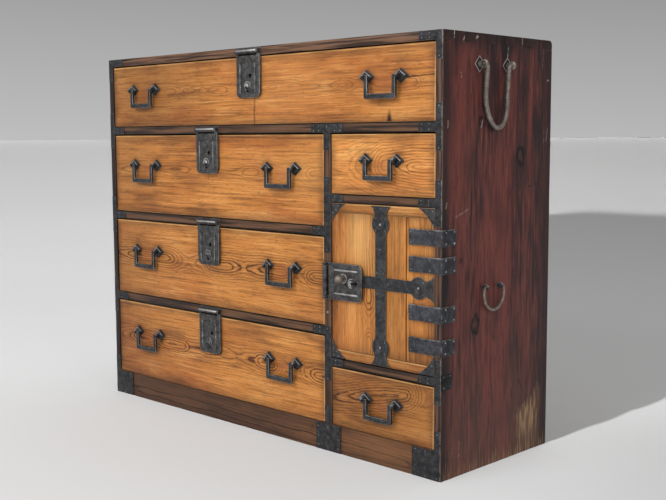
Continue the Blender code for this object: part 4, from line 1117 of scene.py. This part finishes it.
for low, high, left, right in ((upper[0] - REACH, upper[1] - INSET, upper, upper),
                               (left_upper[0] - REACH, right_upper[1] + REACH, left_upper, right_upper),
                               (right_lower[0] - REACH, left_lower[1], left_lower, right_lower)):
    irons.append(joint_iron(*post, low, high, on_rail(left, STILE[0] - REACH), on_rail(right, STILE[1] + REACH)))
irons.append(joint_iron(*post, BASE + 0.8 * MM, BASE_HEAD))
half = 36.5 * MM
irons.append(joint_iron(STILE_MIDDLE - half, STILE_MIDDLE + half, INSET, BASE - INSET))
for x in (-0.8, 0, 0.8):
    for z in (0.16, 0.5, 0.84):
        nail("case", (STILE_MIDDLE + x * half, POST - PROUD, z * BASE), ON_FRONT)

# %% A tab on the right side
half = 16.5 * MM
level, near, far = sum(right_lower) / 2, POST - 0.4 * MM, POST + 35 * MM
tab = prism([(near, level - half), (far, level - half), (far, level + half), (near, level + half)],
            CASE + UNDER, CASE + PROUD, IRON_EDGE).put(turn=ON_RIGHT)
for y in (8, 28):
    for z in (-11, 11):
        nail("case", (CASE + PROUD, POST + y * MM, level + z * MM), ON_RIGHT)
tab = tab.rubbed(lambda w, p: w - 0.55)  # as black as the soot round it
piece("case_irons", together(irons + [tab]), case_iron, "case", "black_iron")
print(len(irons) + 1, "irons on the case")

# %% [markdown]
# ## Roses and eyes
# Each handle hangs in two eyes that stand on stepped diamond roses. The rose is a stack of diamonds of different
# sizes; the eye is a short turned ring whose bore clears the handle's pin.

# %% The rose with its eye
def diamond(wide, tall, level):
    blunt = 0.5 * MM
    a, b = wide - blunt, tall - blunt
    return [Vector((x, y, level)) for x, y in ((a, -blunt), (a, blunt), (blunt, b), (-blunt, b), (-a, blunt),
                                               (-a, -blunt), (-blunt, -b), (blunt, -b))]


def rose(*sizes, flat=False):
    """A diamond rose, stepped or flat, with an eye. Its sizes in mm: half its width and height, its rise, the radius
    and the length of the eye, and the radius of the pin."""
    wide, tall, height, ring, length, pin = (size * MM for size in sizes)
    rise = height + 0.4 * MM
    if flat:
        steps = [(1.30, -1.4 * MM), (1.30, 0.8 * MM), (1.24, 1.3 * MM), (1.12, 1.3 * MM), (1.06, 0.8 * MM),
                 (0.62, 0.8 * MM), (0.46, 1.8 * MM), (0.40, rise - 0.6 * MM), (0.32, rise)]
        worn = {2: 1.0, 3: 1.0, 4: -0.75, 5: -0.75}
    else:
        steps = [(1.30, -1.4 * MM), (1.30, 0.6 * MM), (1.26, 1.0 * MM), (1.13, 1.2 * MM), (1.11, 1.7 * MM),
                 (1.06, rise - 0.7 * MM), (1.00, rise), (0.86, rise), (0.74, rise - 1.3 * MM), (0.40, rise - 1.1 * MM)]
        worn = {6: 1.0, 7: 0.9}
    base = lofted([diamond(wide * share, tall * share, level) for share, level in steps], worn)
    if not flat:  # painted highlight on its upper sides
        base = base.rubbed(lambda w, p: w if p.y > 0 else w * 0.2)
    bore, e, end = pin + GAP, 0.8 * MM, length / 2
    section = [(ring - e, -end), (ring, e - end), (ring, end - e), (ring - e, end), (bore, end), (bore, -end)]
    eye = turned(section, 20, {0: 0.8, 1: 0.7, 2: 0.7, 3: 0.8}, "X", closed=True)
    # Only the top of the eye keeps its rub: a painted glint.
    eye = eye.rubbed(lambda w, p: w if p.y > 1 * MM else 0)
    return base + eye.put((0, 0, height + ring - 1 * MM))


bail_rose = object_of("bail_rose", rose(15.5, 11.5, 5.5, 6, 5.5, 2.5))
carry_rose = object_of("carry_rose", rose(12.5, 13, 5, 8, 7, 4, flat=True))
ring_rose = object_of("ring_rose", rose(5.5, 5.5, 3.5, 5.5, 5, 2.5, flat=True))
nail_head = object_of("nail_head", turned(mm((2.0, -0.4), (2.0, 0.15), (1.6, 0.65), (0.8, 0.95), (0, 1.05)), 8))

# %% [markdown]
# ## Side handles
# A bent bar hangs high on each side, for carrying, and a ring hangs low on the right. Each is one tube along a flat
# path whose ends turn into the eyes.

# %% Carry handles and ring
def both_halves(half):
    """A path from its right end to its left end; the two halves share the point between them."""
    return half[:-1] + [(-x, *rest) for x, *rest in reversed(half)]


def carry_path():
    arm, bend, drop, deep = 36.5 * MM, 5.5 * MM, 129 * MM, 62 * MM
    half = mm((52, 0), (47, 0)) + arc((arm + bend, -bend), bend, 90, 180, 5)
    half += arc((0, 4 * MM + deep - drop), (arm, deep), 0, -90, 16)
    shaped = []
    for x, y in half:  # the bar swings in towards the board below its eyes and out again at the bottom
        inward, outward = (min(1, max(0, (-y - a * MM) / (b * MM))) for a, b in ((5, 11), (30, 95)))
        shaped.append((x, y, (outward - inward) * 6.5 * MM, 0.84 + 0.16 * min(1, -y / (6 * MM))))
    return both_halves(shaped)


def ring_path():
    radius, below = 34 * MM, 14 * MM
    start = math.degrees(math.asin(below / radius))
    half = mm((20.5, 0), (28, 0)) + arc((0, -below), radius, start - 5, -90, 20)
    return both_halves([(x, y, 0, 0.82 + 0.18 * min(1, max(0, -y / (6 * MM)))) for x, y in half])


for name, side, turn, path, radius, fitting, away, finish in (
        ("right_carry_handle", 1, ON_RIGHT, carry_path(), 4.75 * MM, carry_rose, 47 * MM, grey_iron),
        ("left_carry_handle", -1, ON_LEFT, carry_path(), 4.75 * MM, carry_rose, 47 * MM, grey_iron),
        ("right_ring", 1, ON_RIGHT, ring_path(), 3.0 * MM, ring_rose, 25 * MM, black_iron)):
    pin = PINS[name]
    piece(name + "_bar", tube(path, radius).put(pin, turn), grey_iron, name, "worn_grey_iron", name)
    seats = [((side * CASE, pin.y + reach, pin.z), turn, 1.0) for reach in (-away, away)]
    seated(name + "_roses", fitting, seats, finish, "case")
print("two carry handles and a ring")

# %% [markdown]
# ## Hasp locks
# A hasp is a flap on a rolled knuckle. It hangs on a pin between two ears of the plate behind it, and carries two
# ribs, a ringed boss with a keyhole and a stud hole. One lock is modelled flat, counting from its pin, and then
# stood on four drawers and laid on its side on the door.

# %% Ribs and holes of a lock
def capsule(x, low, high, width, proud, base):
    """A half-round rib standing on the flap."""
    rings = []
    for y, size in ((low, 0.15), (low + width * 0.2, 0.7), (low + width * 0.6, 1.0), (high - width * 0.6, 1.0),
                    (high - width * 0.2, 0.7), (high, 0.15)):
        rings.append([Vector((x + math.cos(a) * width / 2 * size, y, base + math.sin(a) * proud * size))
                      for a in (math.radians(-30 + 240 * k / 12) for k in range(13))])
    rib = lofted(rings)
    rib.wear = [0.5 if 4 <= i % 13 <= 8 else 0.0 for i in range(len(rib.points))]
    return rib


def hole(radius, at):
    """A dark bore with a turned lip."""
    return turned([(radius * 1.2, -1 * MM), (radius * 1.2, 0.4 * MM), (radius * 1.1, 0.6 * MM), (radius, 0.4 * MM),
                   (radius * 0.96, 0.1 * MM), (0, 0.1 * MM)], 14).put(at)


# %% Plate and apron of a lock
HALF, LENGTH, NECK = 39 * MM, 103.5 * MM, 33.7 * MM
FLAP = (-5.2 * MM, -1.7 * MM)  # back and front of the flap, from the pin


def plate_shape():
    back = -7.3 * MM
    foot = 6 * MM - LENGTH
    corner = arc((HALF - 9 * MM, foot + 9 * MM), 9 * MM, -90, 0, 5)
    plate = prism(mirrored(corner + [(HALF, 8.7 * MM)]), back, back + 1.5 * MM, IRON_EDGE)
    section = [(5.5 * MM, back + 0.7 * MM)] + arc((0, 0), 5.5 * MM, 0, 180, 10) + [(-5.5 * MM, back + 0.7 * MM)]
    ears = [prism(section, a, b, 0.5 * MM).put(turn=ON_RIGHT)
            for a, b in ((HALF - 5 * MM, HALF - 0.4 * MM), (0.4 * MM - HALF, 5 * MM - HALF))]
    pin = turned([(2.2 * MM, -36 * MM), (2.2 * MM, 36 * MM)], 12, axis="X")
    return together([plate, pin] + ears)


def apron_shape():
    """The wavy plate under the knuckle."""
    half = [(NECK - 2 * MM, -5 * MM), (NECK - 2 * MM, -21 * MM)]
    half += arc((NECK - 10 * MM, -21 * MM), (8 * MM, 4 * MM), 0, -90, 5)
    half += arc((14 * MM, -21 * MM), (6 * MM, 4 * MM), -60, -150, 5) + [(6 * MM, -20 * MM), (0, -22.5 * MM)]
    return prism(half + [(-x, y) for x, y in reversed(half[:-1])], FLAP[1] - 0.5 * MM, FLAP[1] + 1.0 * MM, 0.4 * MM)


# %% Boss and hasp of a lock
def boss_shape(dome_highlight):
    """A scalloped ring round a dome, with the keyhole running down from its middle."""
    scallop = [((11.2 + 0.5 * math.cos(12 * a)) * MM, a) for a in circle(48)]
    ring = prism([(r * math.cos(a), r * math.sin(a)) for r, a in scallop], -1 * MM, 1.3 * MM, IRON_EDGE)
    dome = turned(mm((10.6, 0.5), (10.5, 1.8), (9.9, 2.4), (8.6, 2.4), (7.6, 1.6), (7.0, 2.6), (5.6, 4.2), (3.6, 5.4),
                     (1.6, 6.0), (0, 6.0)), 28, {2: 1.0, 3: 0.9, 4: -0.6, 6: 0.8, 7: 0.7, 8: 0.6, 9: 0.6})
    # The upper half of the dome gets a painted highlight and its lower half less; the keyhole goes black.
    return ring + dome.rubbed(
        lambda w, p: -1.0 if abs(p.x) < 2.2 * MM and p.y < -1 * MM else w * dome_highlight if p.y > -2 * MM else w * 0.3)


def hasp_shape(knuckle_highlight, dome_highlight=1.0, ribs=1.0):
    """The flap with its knuckle, apron, ribs and boss. The numbers give a painted highlight on the top of the knuckle,
    one on the upper half of the boss, and how bright the ribs are rubbed.
    """
    outline = [(NECK, -2.7 * MM), (NECK, -6.1 * MM), (HALF, -6.1 * MM)]
    outline += arc((HALF - 12 * MM, 12 * MM - LENGTH), 12 * MM, 0, -90, 6)
    parts = [prism(mirrored(outline), *FLAP, 0.8 * MM)]
    bore, r, end = 2.6 * MM, 5.5 * MM, NECK - 0.6 * MM
    section = [(r - 0.6 * MM, -end), (r, 0.8 * MM - end), (r, end - 0.8 * MM), (r - 0.6 * MM, end), (bore, end),
               (bore, -end)]
    knuckle = turned(section, 24, {0: 1.0, 3: 1.0}, "X", closed=True)
    # A painted highlight along the top of the knuckle.
    knuckle = knuckle.rubbed(lambda w, p: max(w * 0.6, knuckle_highlight if p.z > 4 * MM and 0 < p.y < 3.2 * MM else 0))
    parts += [knuckle, apron_shape()]
    for x in (-25 * MM, 25 * MM):
        rib = capsule(x, 10 * MM - LENGTH, -25 * MM, 5.5 * MM, 2.4 * MM, FLAP[1] - 0.2 * MM)
        parts.append(rib.rubbed(lambda w, p: w * ribs))
    return together(parts + [boss_shape(dome_highlight).put((0, -77 * MM, FLAP[1]))])


# %% The locks
lock_plate, lock_hasp, door_hasp = plate_shape(), hasp_shape(0.9), hasp_shape(0.15, 1.2, 1.5)
# Locks low on the chest get weaker painted highlights.
dimly_lit_hasp = hasp_shape(0.8, 0.7)
KNOB_AT = Vector((8.5 * MM, -54 * MM, FLAP[1]))
# Painted shadows: a black bar under the knuckle, and a dark copy of the apron just below its edge.
shadow = prism(mirrored([(NECK - 3 * MM, -9.5 * MM), (NECK - 3 * MM, -6 * MM)]), FLAP[1], FLAP[1] + 1.2 * MM)
pits = [hole(2.6 * MM, (0, -88.2 * MM, FLAP[1] + 1.2 * MM)), hole(3.6 * MM, KNOB_AT),
        apron_shape().put((0, -1.2 * MM, -0.7 * MM)), shadow]


def lock(owner, turn, back, flap, holes):
    """A lock: its plate rides on its owner, and the flap with its dark holes and painted shadows on the hasp."""
    hasp = owner + "_hasp"
    pin = PINS[hasp]
    piece(owner + "_lock_back", lock_plate.put(pin, turn), back, owner, "black_iron", owner + "_lock_plate")
    piece(owner + "_lock_flap", flap.put(pin, turn), lock_iron, hasp, "black_iron", hasp)
    piece(owner + "_lock_holes", together(holes).put(pin, turn), pit_black, hasp, "black_iron")


print("hasp", len(lock_hasp.faces), "faces, plate", len(lock_plate.faces))

# %% [markdown]
# ## Drawers
# A drawer is a thick elm front on a thin box. Fronts get their own log, so that no two show the same figure, the stains
# that irons, hands and locks have left, and painted shade and light. The square bails swing in their eyes.

# %% Bail
def bail_shape(spacing, drop):
    arm = spacing / 2 - 7.4 * MM
    half = [(arm - 6 * MM, 10.5 * MM - drop), (arm - 5.2 * MM, -6 * MM), (arm - 5.2 * MM, 3 * MM),
            (arm + 3.6 * MM, 3 * MM), (arm + 3.4 * MM, -6 * MM), (arm + 3.9 * MM, 2.6 * MM - drop),
            (arm + 1.3 * MM, -drop)]
    bar = prism(mirrored(half), -3.4 * MM, 3.4 * MM, 1.2 * MM)
    end = spacing / 2 + 3.4 * MM
    pin = [(0, end), (1.7 * MM, end - 0.3 * MM), (2.5 * MM, end - 1.2 * MM), (2.5 * MM, arm)]
    pins = [turned([(r, x * side) for r, x in pin], 14, worn={1: 0.3}, axis="X") for side in (-1, 1)]
    return together([bar] + pins)


WIDE_SPACING, SMALL_SPACING = 91 * MM, 84 * MM
wide_bail, small_bail = bail_shape(WIDE_SPACING, 44.5 * MM), bail_shape(SMALL_SPACING, 41 * MM)

# %% The log that each front was sawn from, and its own marks
REDDISH = srgb(168, 92, 54)
CRACK = srgb(34, 20, 14)
fronts = {
    "top_drawer": dict(heart=0.787, seed=1.0, reach=34 * MM, bold=0.28, depths=(
        (-0.56, 12), (-0.40, 10), (-0.296, 3), (-0.26, 11), (-0.228, 3), (-0.19, 9), (-0.171, 5), (-0.15, 10),
        (-0.109, 3), (-0.06, 12), (0.02, 10), (0.074, 4), (0.10, 9), (0.132, 3), (0.17, 9), (0.25, 10), (0.29, 3),
        (0.33, 12), (0.40, 6), (0.45, 3), (0.478, 8), (0.54, 42))),
    "left_upper_drawer": dict(heart=0.602, seed=2.0, bold=0.32, depths=(
        (-0.56, 18), (-0.45, 12), (-0.36, 14), (-0.278, 7), (-0.20, 14), (-0.06, 14), (-0.003, 5), (0.05, 14),
        (0.12, 24), (0.155, 22), (0.20, 6), (0.24, 2))),
    "left_middle_drawer": dict(heart=0.378, seed=3.3, bold=1.25, depths=(
        (-0.56, 20), (-0.527, 14), (-0.46, 6), (-0.394, 2), (-0.335, 5), (-0.235, 30), (-0.19, 24), (-0.145, 4),
        (-0.10, 4), (-0.046, 14), (-0.03, 16), (-0.014, 13), (0.06, 4), (0.10, 2), (0.142, 24), (0.16, 20),
        (0.205, 3), (0.24, 1))),
    "left_lower_drawer": dict(heart=0.165, seed=4.1, bold=1.25, depths=(
        (-0.56, 26), (-0.50, 16), (-0.44, 4), (-0.415, 3), (-0.368, 12), (-0.34, 6), (-0.309, 1.5), (-0.27, 5),
        (-0.235, 15), (-0.20, 14), (-0.166, 7), (-0.105, 15), (-0.06, 19), (0, 13), (0.03, 3), (0.06, 5), (0.11, 30),
        (0.15, 27), (0.175, 17), (0.215, 5), (0.24, 2))),
    "right_upper_drawer": dict(heart=0.622, seed=5.2, tones=BRIGHT, reach=130 * MM, bold=0.55, depths=(
        (0.24, 64), (0.30, 62), (0.31, 58), (0.333, 52), (0.363, 42), (0.404, 24), (0.454, 12), (0.477, 5),
        (0.491, 2), (0.54, 1))),
    "right_lower_drawer": dict(heart=0.1215, slope=0.17, seed=6.4, reach=70 * MM, depths=(
        (0.25, 16), (0.36, 5), (0.437, 1), (0.453, 5), (0.52, 42), (0.54, 44))),
}
own_marks_and_painted_light = {
    "top_drawer": [
        front_scratch((0.4557, 0.7942), (0.535, 0.7970), 2.6, CRACK, 0.95, 0.003, True),
        front_scratch((0.417, 0.742), (0.4165, 0.722), 1.8, CRACK, 0.95, 0.002, True),
        front_stain(0.4165, 0.704, 0.0095, 0.032, CRACK, 1.0, 0.35, deep=0.02),
        front_scratch((0.014, 0.768), (0.0128, 0.709), 4, srgb(84, 42, 26), 0.85, 0.004, True),
        # Painted light towards the middle of this front and painted shade towards its left end.
        front_stain(0.12, 0.785, 0.22, 0.12, GOLD[3], 0.2, deep=0.05),
        front_stain(-0.32, 0.78, 0.27, 0.2, SOOT_AND_SHADE, 0.32, 0.2, deep=0.05),
        front_stain(0.45, 0.83, 0.06, 0.02, SOOT_AND_SHADE, 0.35, deep=0.02),
    ],
    # Painted light towards the right of this front.
    "left_upper_drawer": [front_stain(0.16, 0.60, 0.14, 0.08, GOLD[3], 0.3, deep=0.05)],
    "right_lower_drawer": [front_stain(0.41, 0.10, 0.3, 0.3, SOOT_AND_SHADE, 0.32, 0.8, deep=0.05)],
}


# %% Drawer fronts, boxes and fittings
def marks_of_use_and_shade(name, low, high, bails, spacing):
    """What hands, bails and the lock have left on a front, and painted shade at the left end of a wide front."""
    marks = []
    for x, _, z in (PINS[body] for body in bails):
        marks += [front_stain(x + side * spacing / 2, z, 0.034, 0.032, SOOT_AND_SHADE, 0.55) for side in (-1, 1)]
        marks.append(front_stain(x, z - 0.012, 0.040, 0.030, REDDISH, 0.5))
        marks.append(front_stain(x, z - 0.047, 0.055, 0.012, SOOT_AND_SHADE, 0.4))
    if name + "_hasp" in PINS:
        x, _, z = PINS[name + "_hasp"]
        marks.append(front_stain(x, z - 0.055, 0.062, 0.078, SOOT_AND_SHADE, 0.6))
        marks.append(front_scratch((x - 4 * MM, z - 0.1), (x - 4 * MM, z - 0.128), 2.6, SOOT_AND_SHADE, 0.55))
    # Painted shade towards the left end of each wide front.
    if len(bails) == 2:
        marks.append(front_stain(low[0], (low[2] + high[2]) / 2, 0.34, 0.4, SOOT_AND_SHADE, 0.3, deep=0.05))
    return marks


def tray_shape(low, high):
    """The box of a drawer: two sides, a back and a floor."""
    (left, front, foot), (right, back, top) = low, high
    wall, edge = 10 * MM, 0.7 * MM
    return together([
        plank((left, front, foot), (left + wall, back, top), 1, edge, 1),
        plank((right - wall, front, foot), (right, back, top), 1, edge, 2),
        plank((left + wall, back - wall, foot), (right - wall, back, top), 0, edge, 3),
        plank((left + wall, front, foot), (right - wall, back - wall, foot + 7 * MM), 0, 0.5 * MM, 4)])


for name, log in fronts.items():
    low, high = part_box(name + "_front")
    bails = [body for body in PINS if body.startswith(name) and body.endswith("bail")]
    spacing, bail = (WIDE_SPACING, wide_bail) if len(bails) == 2 else (SMALL_SPACING, small_bail)
    marks = marks_of_use_and_shade(name, low, high, bails, spacing) + own_marks_and_painted_light.get(name, [])
    wood = elm(name + "_elm", (low[0], low[2]), (high[0], high[2]), highlit_lips=True, marks=marks, **log)
    board = plank((low[0], FACE, low[2]), (high[0], FACE + FRONT_THICKNESS, high[2]), 0, 1.3 * MM, log["seed"])
    piece(name + "_board", board, wood, name, "elm_front", name + "_front")
    seats = [((PINS[body].x + side * spacing / 2, FACE, PINS[body].z), ON_FRONT, 1.0)
             for body in bails for side in (-1, 1)]
    seated(name + "_roses", bail_rose, seats, black_iron, name, 0.04, int(log["seed"] * 10))
    for body in bails:
        piece(body + "_bar", bail.put(PINS[body], ON_FRONT), black_iron, body, "black_iron", body)
    piece(name + "_tray", tray_shape(*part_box(name + "_box")), drawer_wood, name, "pale_drawer_wood", name + "_box")
    if name + "_hasp" in PINS:
        lock(name, ON_FRONT, lock_iron, dimly_lit_hasp if PINS[name + "_hasp"].z < 0.5 else lock_hasp, pits)
print(len(fronts), "drawers")

# %% [markdown]
# ## Door
# The door is three upright boards between two cleats. Corner irons, a cross of straps with flared ends and bulbs,
# four strap hinges and a lock that lies on its side hold it together.

# %% Door boards and cleats
CLEAT = 19 * MM
low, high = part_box("door_panel")
door_left, door_right = low[0], high[0]
door_middle = (door_left + door_right) / 2
cleat_low, cleat_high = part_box("door_bottom_cleat"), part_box("door_top_cleat")
door_foot, door_head = cleat_low[0][2], cleat_high[1][2]
joints = [door_left, door_middle, door_right - 73 * MM, door_right]
boards = []
for i in range(3):
    a = joints[i] + (0.7 * MM if i else 0)
    b = joints[i + 1] - (0.7 * MM if i < 2 else 0)
    boards.append(plank((a, FACE + 0.8 * MM, low[2]), (b, FACE + FRONT_THICKNESS, high[2]), 2, 1.0 * MM, 31 + i))
hinge_levels = [sum(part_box(f"hinge_{i}_door_leaf")[k][2] for k in (0, 1)) / 2 for i in (1, 2, 3, 4)]
lock_pin = PINS["door_hasp"]
door_marks = [front_scratch((x, low[2]), (x, high[2]), 2.4, CRACK, 0.8, 0.001, True) for x in joints[1:3]]
door_marks += [front_stain(door_right - 0.03, z, 0.06, 0.034, SOOT_AND_SHADE, 0.65) for z in hinge_levels]
door_marks += [front_stain(0.335, 0.47, 0.06, 0.12, BRIGHT[3], 0.5, deep=0.05),
               front_stain(0.325, 0.27, 0.07, 0.11, BRIGHT[0], 0.4, deep=0.05),
               front_stain(0.42, 0.36, 0.05, 0.28, SOOT_AND_SHADE, 0.25, 0.4, deep=0.05),
               front_stain(lock_pin.x + 0.05, lock_pin.z, 0.085, 0.06, SOOT_AND_SHADE, 0.55)]
door_elm = elm("door_elm", (door_left, low[2]), (door_right, high[2]), 0.362, 8.0,
               ((0.15, 16), (0.253, 3), (0.295, 24), (0.352, 6), (0.60, 5)), upright=True, marks=door_marks)
piece("door_boards", together(boards), door_elm, "door", "elm_front", "door_panel")
for name, (a, b), foot, seam, seed in (
        ("door_bottom_cleat", cleat_low, door_foot, door_foot + CLEAT, 12.0),
        ("door_top_cleat", cleat_high, door_head - CLEAT, door_head - CLEAT, 13.0)):
    cleat_elm = elm(name + "_elm", (a[0], foot), (b[0], foot + CLEAT), foot - 0.03, seed, highlit_lips=True,
                    marks=[front_scratch((a[0], seam), (b[0], seam), 2.4, CRACK, 0.7, 0.001, True)])
    cleat = plank((door_left, FACE, foot), (door_right, FACE + FRONT_THICKNESS, foot + CLEAT), 0, 1 * MM, seed)
    piece(name + "_rail", cleat, cleat_elm, "door", "elm_front", name)

# %% Door irons
def corner_iron(edge, level, inward, upward):
    """A triangle with a hollow long side, nailed over a corner of the door."""
    size = 40 * MM
    points = [(edge, level), (edge + inward * size, level)]
    for i in range(1, 8):
        t = i / 8
        sag = 4.5 * MM * math.sin(math.pi * t)
        points.append((edge + inward * (size * (1 - t) - sag * 0.7), level + upward * (size * t - sag * 0.7)))
    points.append((edge, level + upward * size))
    for u, v in ((0.12, 0.12), (0.5, 0.12), (0.12, 0.5), (0.34, 0.34), (0.8, 0.08), (0.08, 0.8)):
        nail("door", (edge + inward * u * size, FACE - PROUD, level + upward * v * size), ON_FRONT)
    return prism(points, -0.5 * MM, PROUD, IRON_EDGE).put((0, FACE, 0), ON_FRONT)


door_irons = []
for edge, inward in ((door_left + INSET, 1), (door_right - INSET, -1)):
    door_irons.append(corner_iron(edge, door_foot + INSET, inward, 1))
    door_irons.append(corner_iron(edge, door_head - INSET, inward, -1))
piece("door_corner_irons", together(door_irons), black_iron, "door", "black_iron")

# %% Door straps
BULB = 38 * MM  # middle of a bulb from the end of its strap


def strap_half(half_width):
    """Half of a strap's flared end and bulb: (half width, distance from the end)."""
    flare = [((15.4 + 10.6 * (1 - t / 19) ** 1.7) * MM, t * MM) for t in (0, 2, 5, 8, 11, 14, 17)]
    radius = 22.5 * MM
    start, end = (math.degrees(math.acos(wide / radius)) for wide in (15.6 * MM, half_width))
    return flare + arc((0, BULB), radius, -start, end, 14)


a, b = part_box("door_strap")
half = strap_half(14.25 * MM)
edge = [(x, a[2] + y) for x, y in half] + [(x, b[2] - y) for x, y in reversed(half)]
upright = prism(mirrored(edge), 0.3 * MM, 1.9 * MM, 0.45 * MM).put((door_middle, FACE, 0), ON_FRONT)
cross_z = lock_pin.z + 6 * MM
edge = [(b[0] - y, x) for x, y in strap_half(13 * MM)] + [(a[0], 13 * MM)]
crossing = prism(edge + [(x, -y) for x, y in reversed(edge)], 0.5 * MM, 2.1 * MM, 0.7 * MM)
rim = turned(mm((12, 1), (12, 2.6), (11, 3.1), (10, 2.6), (9.6, 2.3), (0, 2.3)), 28)
bosses = []
for x, z in ((door_middle, a[2] + BULB), (door_middle, b[2] - BULB), (b[0] - BULB, cross_z)):
    bosses.append(rim.put((x, FACE, z), ON_FRONT))
    for turn in (math.pi / 4 + k * math.pi / 2 for k in range(4)):
        nail("door", (x + 17 * MM * math.cos(turn), FACE - 2.0 * MM, z + 17 * MM * math.sin(turn)), ON_FRONT)
    nail("door", (x, FACE - 2.3 * MM, z), ON_FRONT, 1.4, nail_iron)
for z, up in ((a[2], 1), (b[2], -1)):
    for x in (-19, 0, 19):
        nail("door", (door_middle + x * MM, FACE - 1.9 * MM, z + up * 5 * MM), ON_FRONT)
for z in (-19, 0, 19):
    nail("door", (b[0] - 5 * MM, FACE - 2.1 * MM, cross_z + z * MM), ON_FRONT)
for x, z in ((-9, 22), (-9, -22), (9, 22), (9, -22), (0, 70), (0, -75), (22, 0), (46, 0)):
    nail("door", (door_middle + x * MM, FACE - 2.0 * MM, cross_z + z * MM), ON_FRONT)
strap = together([upright, crossing.put((0, FACE, cross_z), ON_FRONT)] + bosses)
piece("door_straps", strap, black_iron, "door", "black_iron", "door_strap")

# %% Door hinges
OFFSET = 3.5 * MM / math.sqrt(2)  # of the hinge pin from both faces
HINGE_HALF = 16.5 * MM
LEAF = (GAP - OFFSET, GAP - OFFSET + 1.5 * MM)  # back and front of a leaf, from the pin


def knuckle(bore, low, high, rubbed):
    """A short tube along Y, rubbed bright along one line."""
    e, radius = 0.4 * MM, 3.2 * MM
    section = [(radius - e, low), (radius, low + e), (radius, high - e), (radius - e, high), (bore, high), (bore, low)]
    bar = turned(section, 16, axis="Y", closed=True)
    bar.wear = [0.6 if i % 16 in rubbed and i < 64 else 0.0 for i in range(len(bar.points))]
    return bar


def front_leaf():
    half, own = HINGE_HALF, 5.5 * MM
    tip, clear, tab = -(82 * MM + OFFSET), -3.8 * MM, -1.9 * MM
    waist = [(tip + (clear - tip) * i / 10, -half + 1.2 * MM * math.sin(math.pi * i / 10)) for i in range(11)]
    outline = [(tip + 1.5 * MM, -half + 0.2 * MM)] + waist[1:]
    outline += [(clear, -own), (tab, -own), (tab, own), (clear, own)]
    outline += [(x, -y) for x, y in reversed(waist[1:])]
    outline += [(tip + 1.5 * MM, half - 0.2 * MM), (tip, half - 2 * MM), (tip, 2 * MM - half)]
    return prism(outline, *LEAF) + knuckle(1.6 * MM, GAP - own, own - GAP, (2, 3))


def side_leaf():
    half, own = HINGE_HALF, 5.8 * MM
    clear, tab, tip = 3.8 * MM, 1.6 * MM, 43 * MM + OFFSET
    outline = [(tip - 1.5 * MM, -half), (tip, 2 * MM - half), (tip, half - 2 * MM), (tip - 1.5 * MM, half), (tab, half),
               (tab, own), (clear, own), (clear, -own), (tab, -own), (tab, -half)]
    inside, outside = own + GAP, half - GAP
    pin = turned([(1.3 * MM, -outside), (1.3 * MM, outside)], 10).put(turn=ON_FRONT)
    leaf = together([prism(outline, *LEAF), knuckle(1.3 * MM, inside, outside, (6, 7)),
                     knuckle(1.3 * MM, -outside, -inside, (6, 7)), pin])
    return leaf.rubbed(lambda w, p: w - 0.38)  # blacker than the front


axis = PINS["door"]
# The hinge iron has a painted highlight along the top edge of each leaf.
hinge_iron = iron("hinge_iron", srgb(54, 55, 60), srgb(92, 94, 100), srgb(176, 176, 176), 2.0,
                  highlit_rims=[level + HINGE_HALF for level in hinge_levels])
for number, level in enumerate(hinge_levels, 1):
    at, hinge = (axis.x, axis.y, level), f"hinge_{number}"
    piece(hinge + "_front_leaf", front_leaf().put(at, ON_FRONT), hinge_iron, "door", "black_iron", hinge + "_door_leaf")
    piece(hinge + "_side_leaf", side_leaf().put(at, ON_RIGHT), hinge_iron, "case", "black_iron", hinge + "_case_leaf")
    for y in (11, 37):
        for z in (-11, 11):
            nail("case", (CASE + 1.8 * MM, POST + y * MM, level + z * MM), ON_RIGHT, 1.05, nail_iron)
    for x in (28, 76):
        for z in (-10.5, 10.5):
            nail("door", (CASE - x * MM, POST - 1.8 * MM, level + z * MM), ON_FRONT)

# %% Door lock and knob
lock("door", LYING, black_iron, door_hasp, [pits[0], *pits[2:]])
profile = mm((0, 0), (10.2, 0), (10.5, 0.6), (10.5, 1.8), (9.6, 2.5), (7.5, 2.2), (4.6, 2.6), (4.3, 5.2))
ball = turned(profile + arc((0, 14.5 * MM), 9.5 * MM, -62, 90, 16), 32, {4: 1.0})
ball = ball.put(KNOB_AT + Vector((0, 0, GAP))).put(lock_pin, LYING)
piece("door_knob_ball", ball, grey_iron, "door_hasp", "worn_grey_iron", "door_knob")
print("door with", len(hinge_levels), "hinges")

# %% [markdown]
# ## Nails
# All nails that were noted on the way are made now, one mesh for each body.

# %% Nail heads
nail("case", (STILE_MIDDLE, POST, 0.305), ON_FRONT, 1.2, nail_iron)
for number, ((body, finish), seats) in enumerate(NAILS.items()):
    seated(f"{body}_{finish.name}s", nail_head, seats, finish, body, 0.18, 40 + number)
    print(body, len(seats), finish.name)
for template in (bail_rose, carry_rose, ring_rose, nail_head):
    bpy.data.objects.remove(template)

# %% [markdown]
# ## Sizes
# The box of the frame is printed. The dressed chest has to keep the size of its frame.

# %% Finish
print("cad box", cad_box)
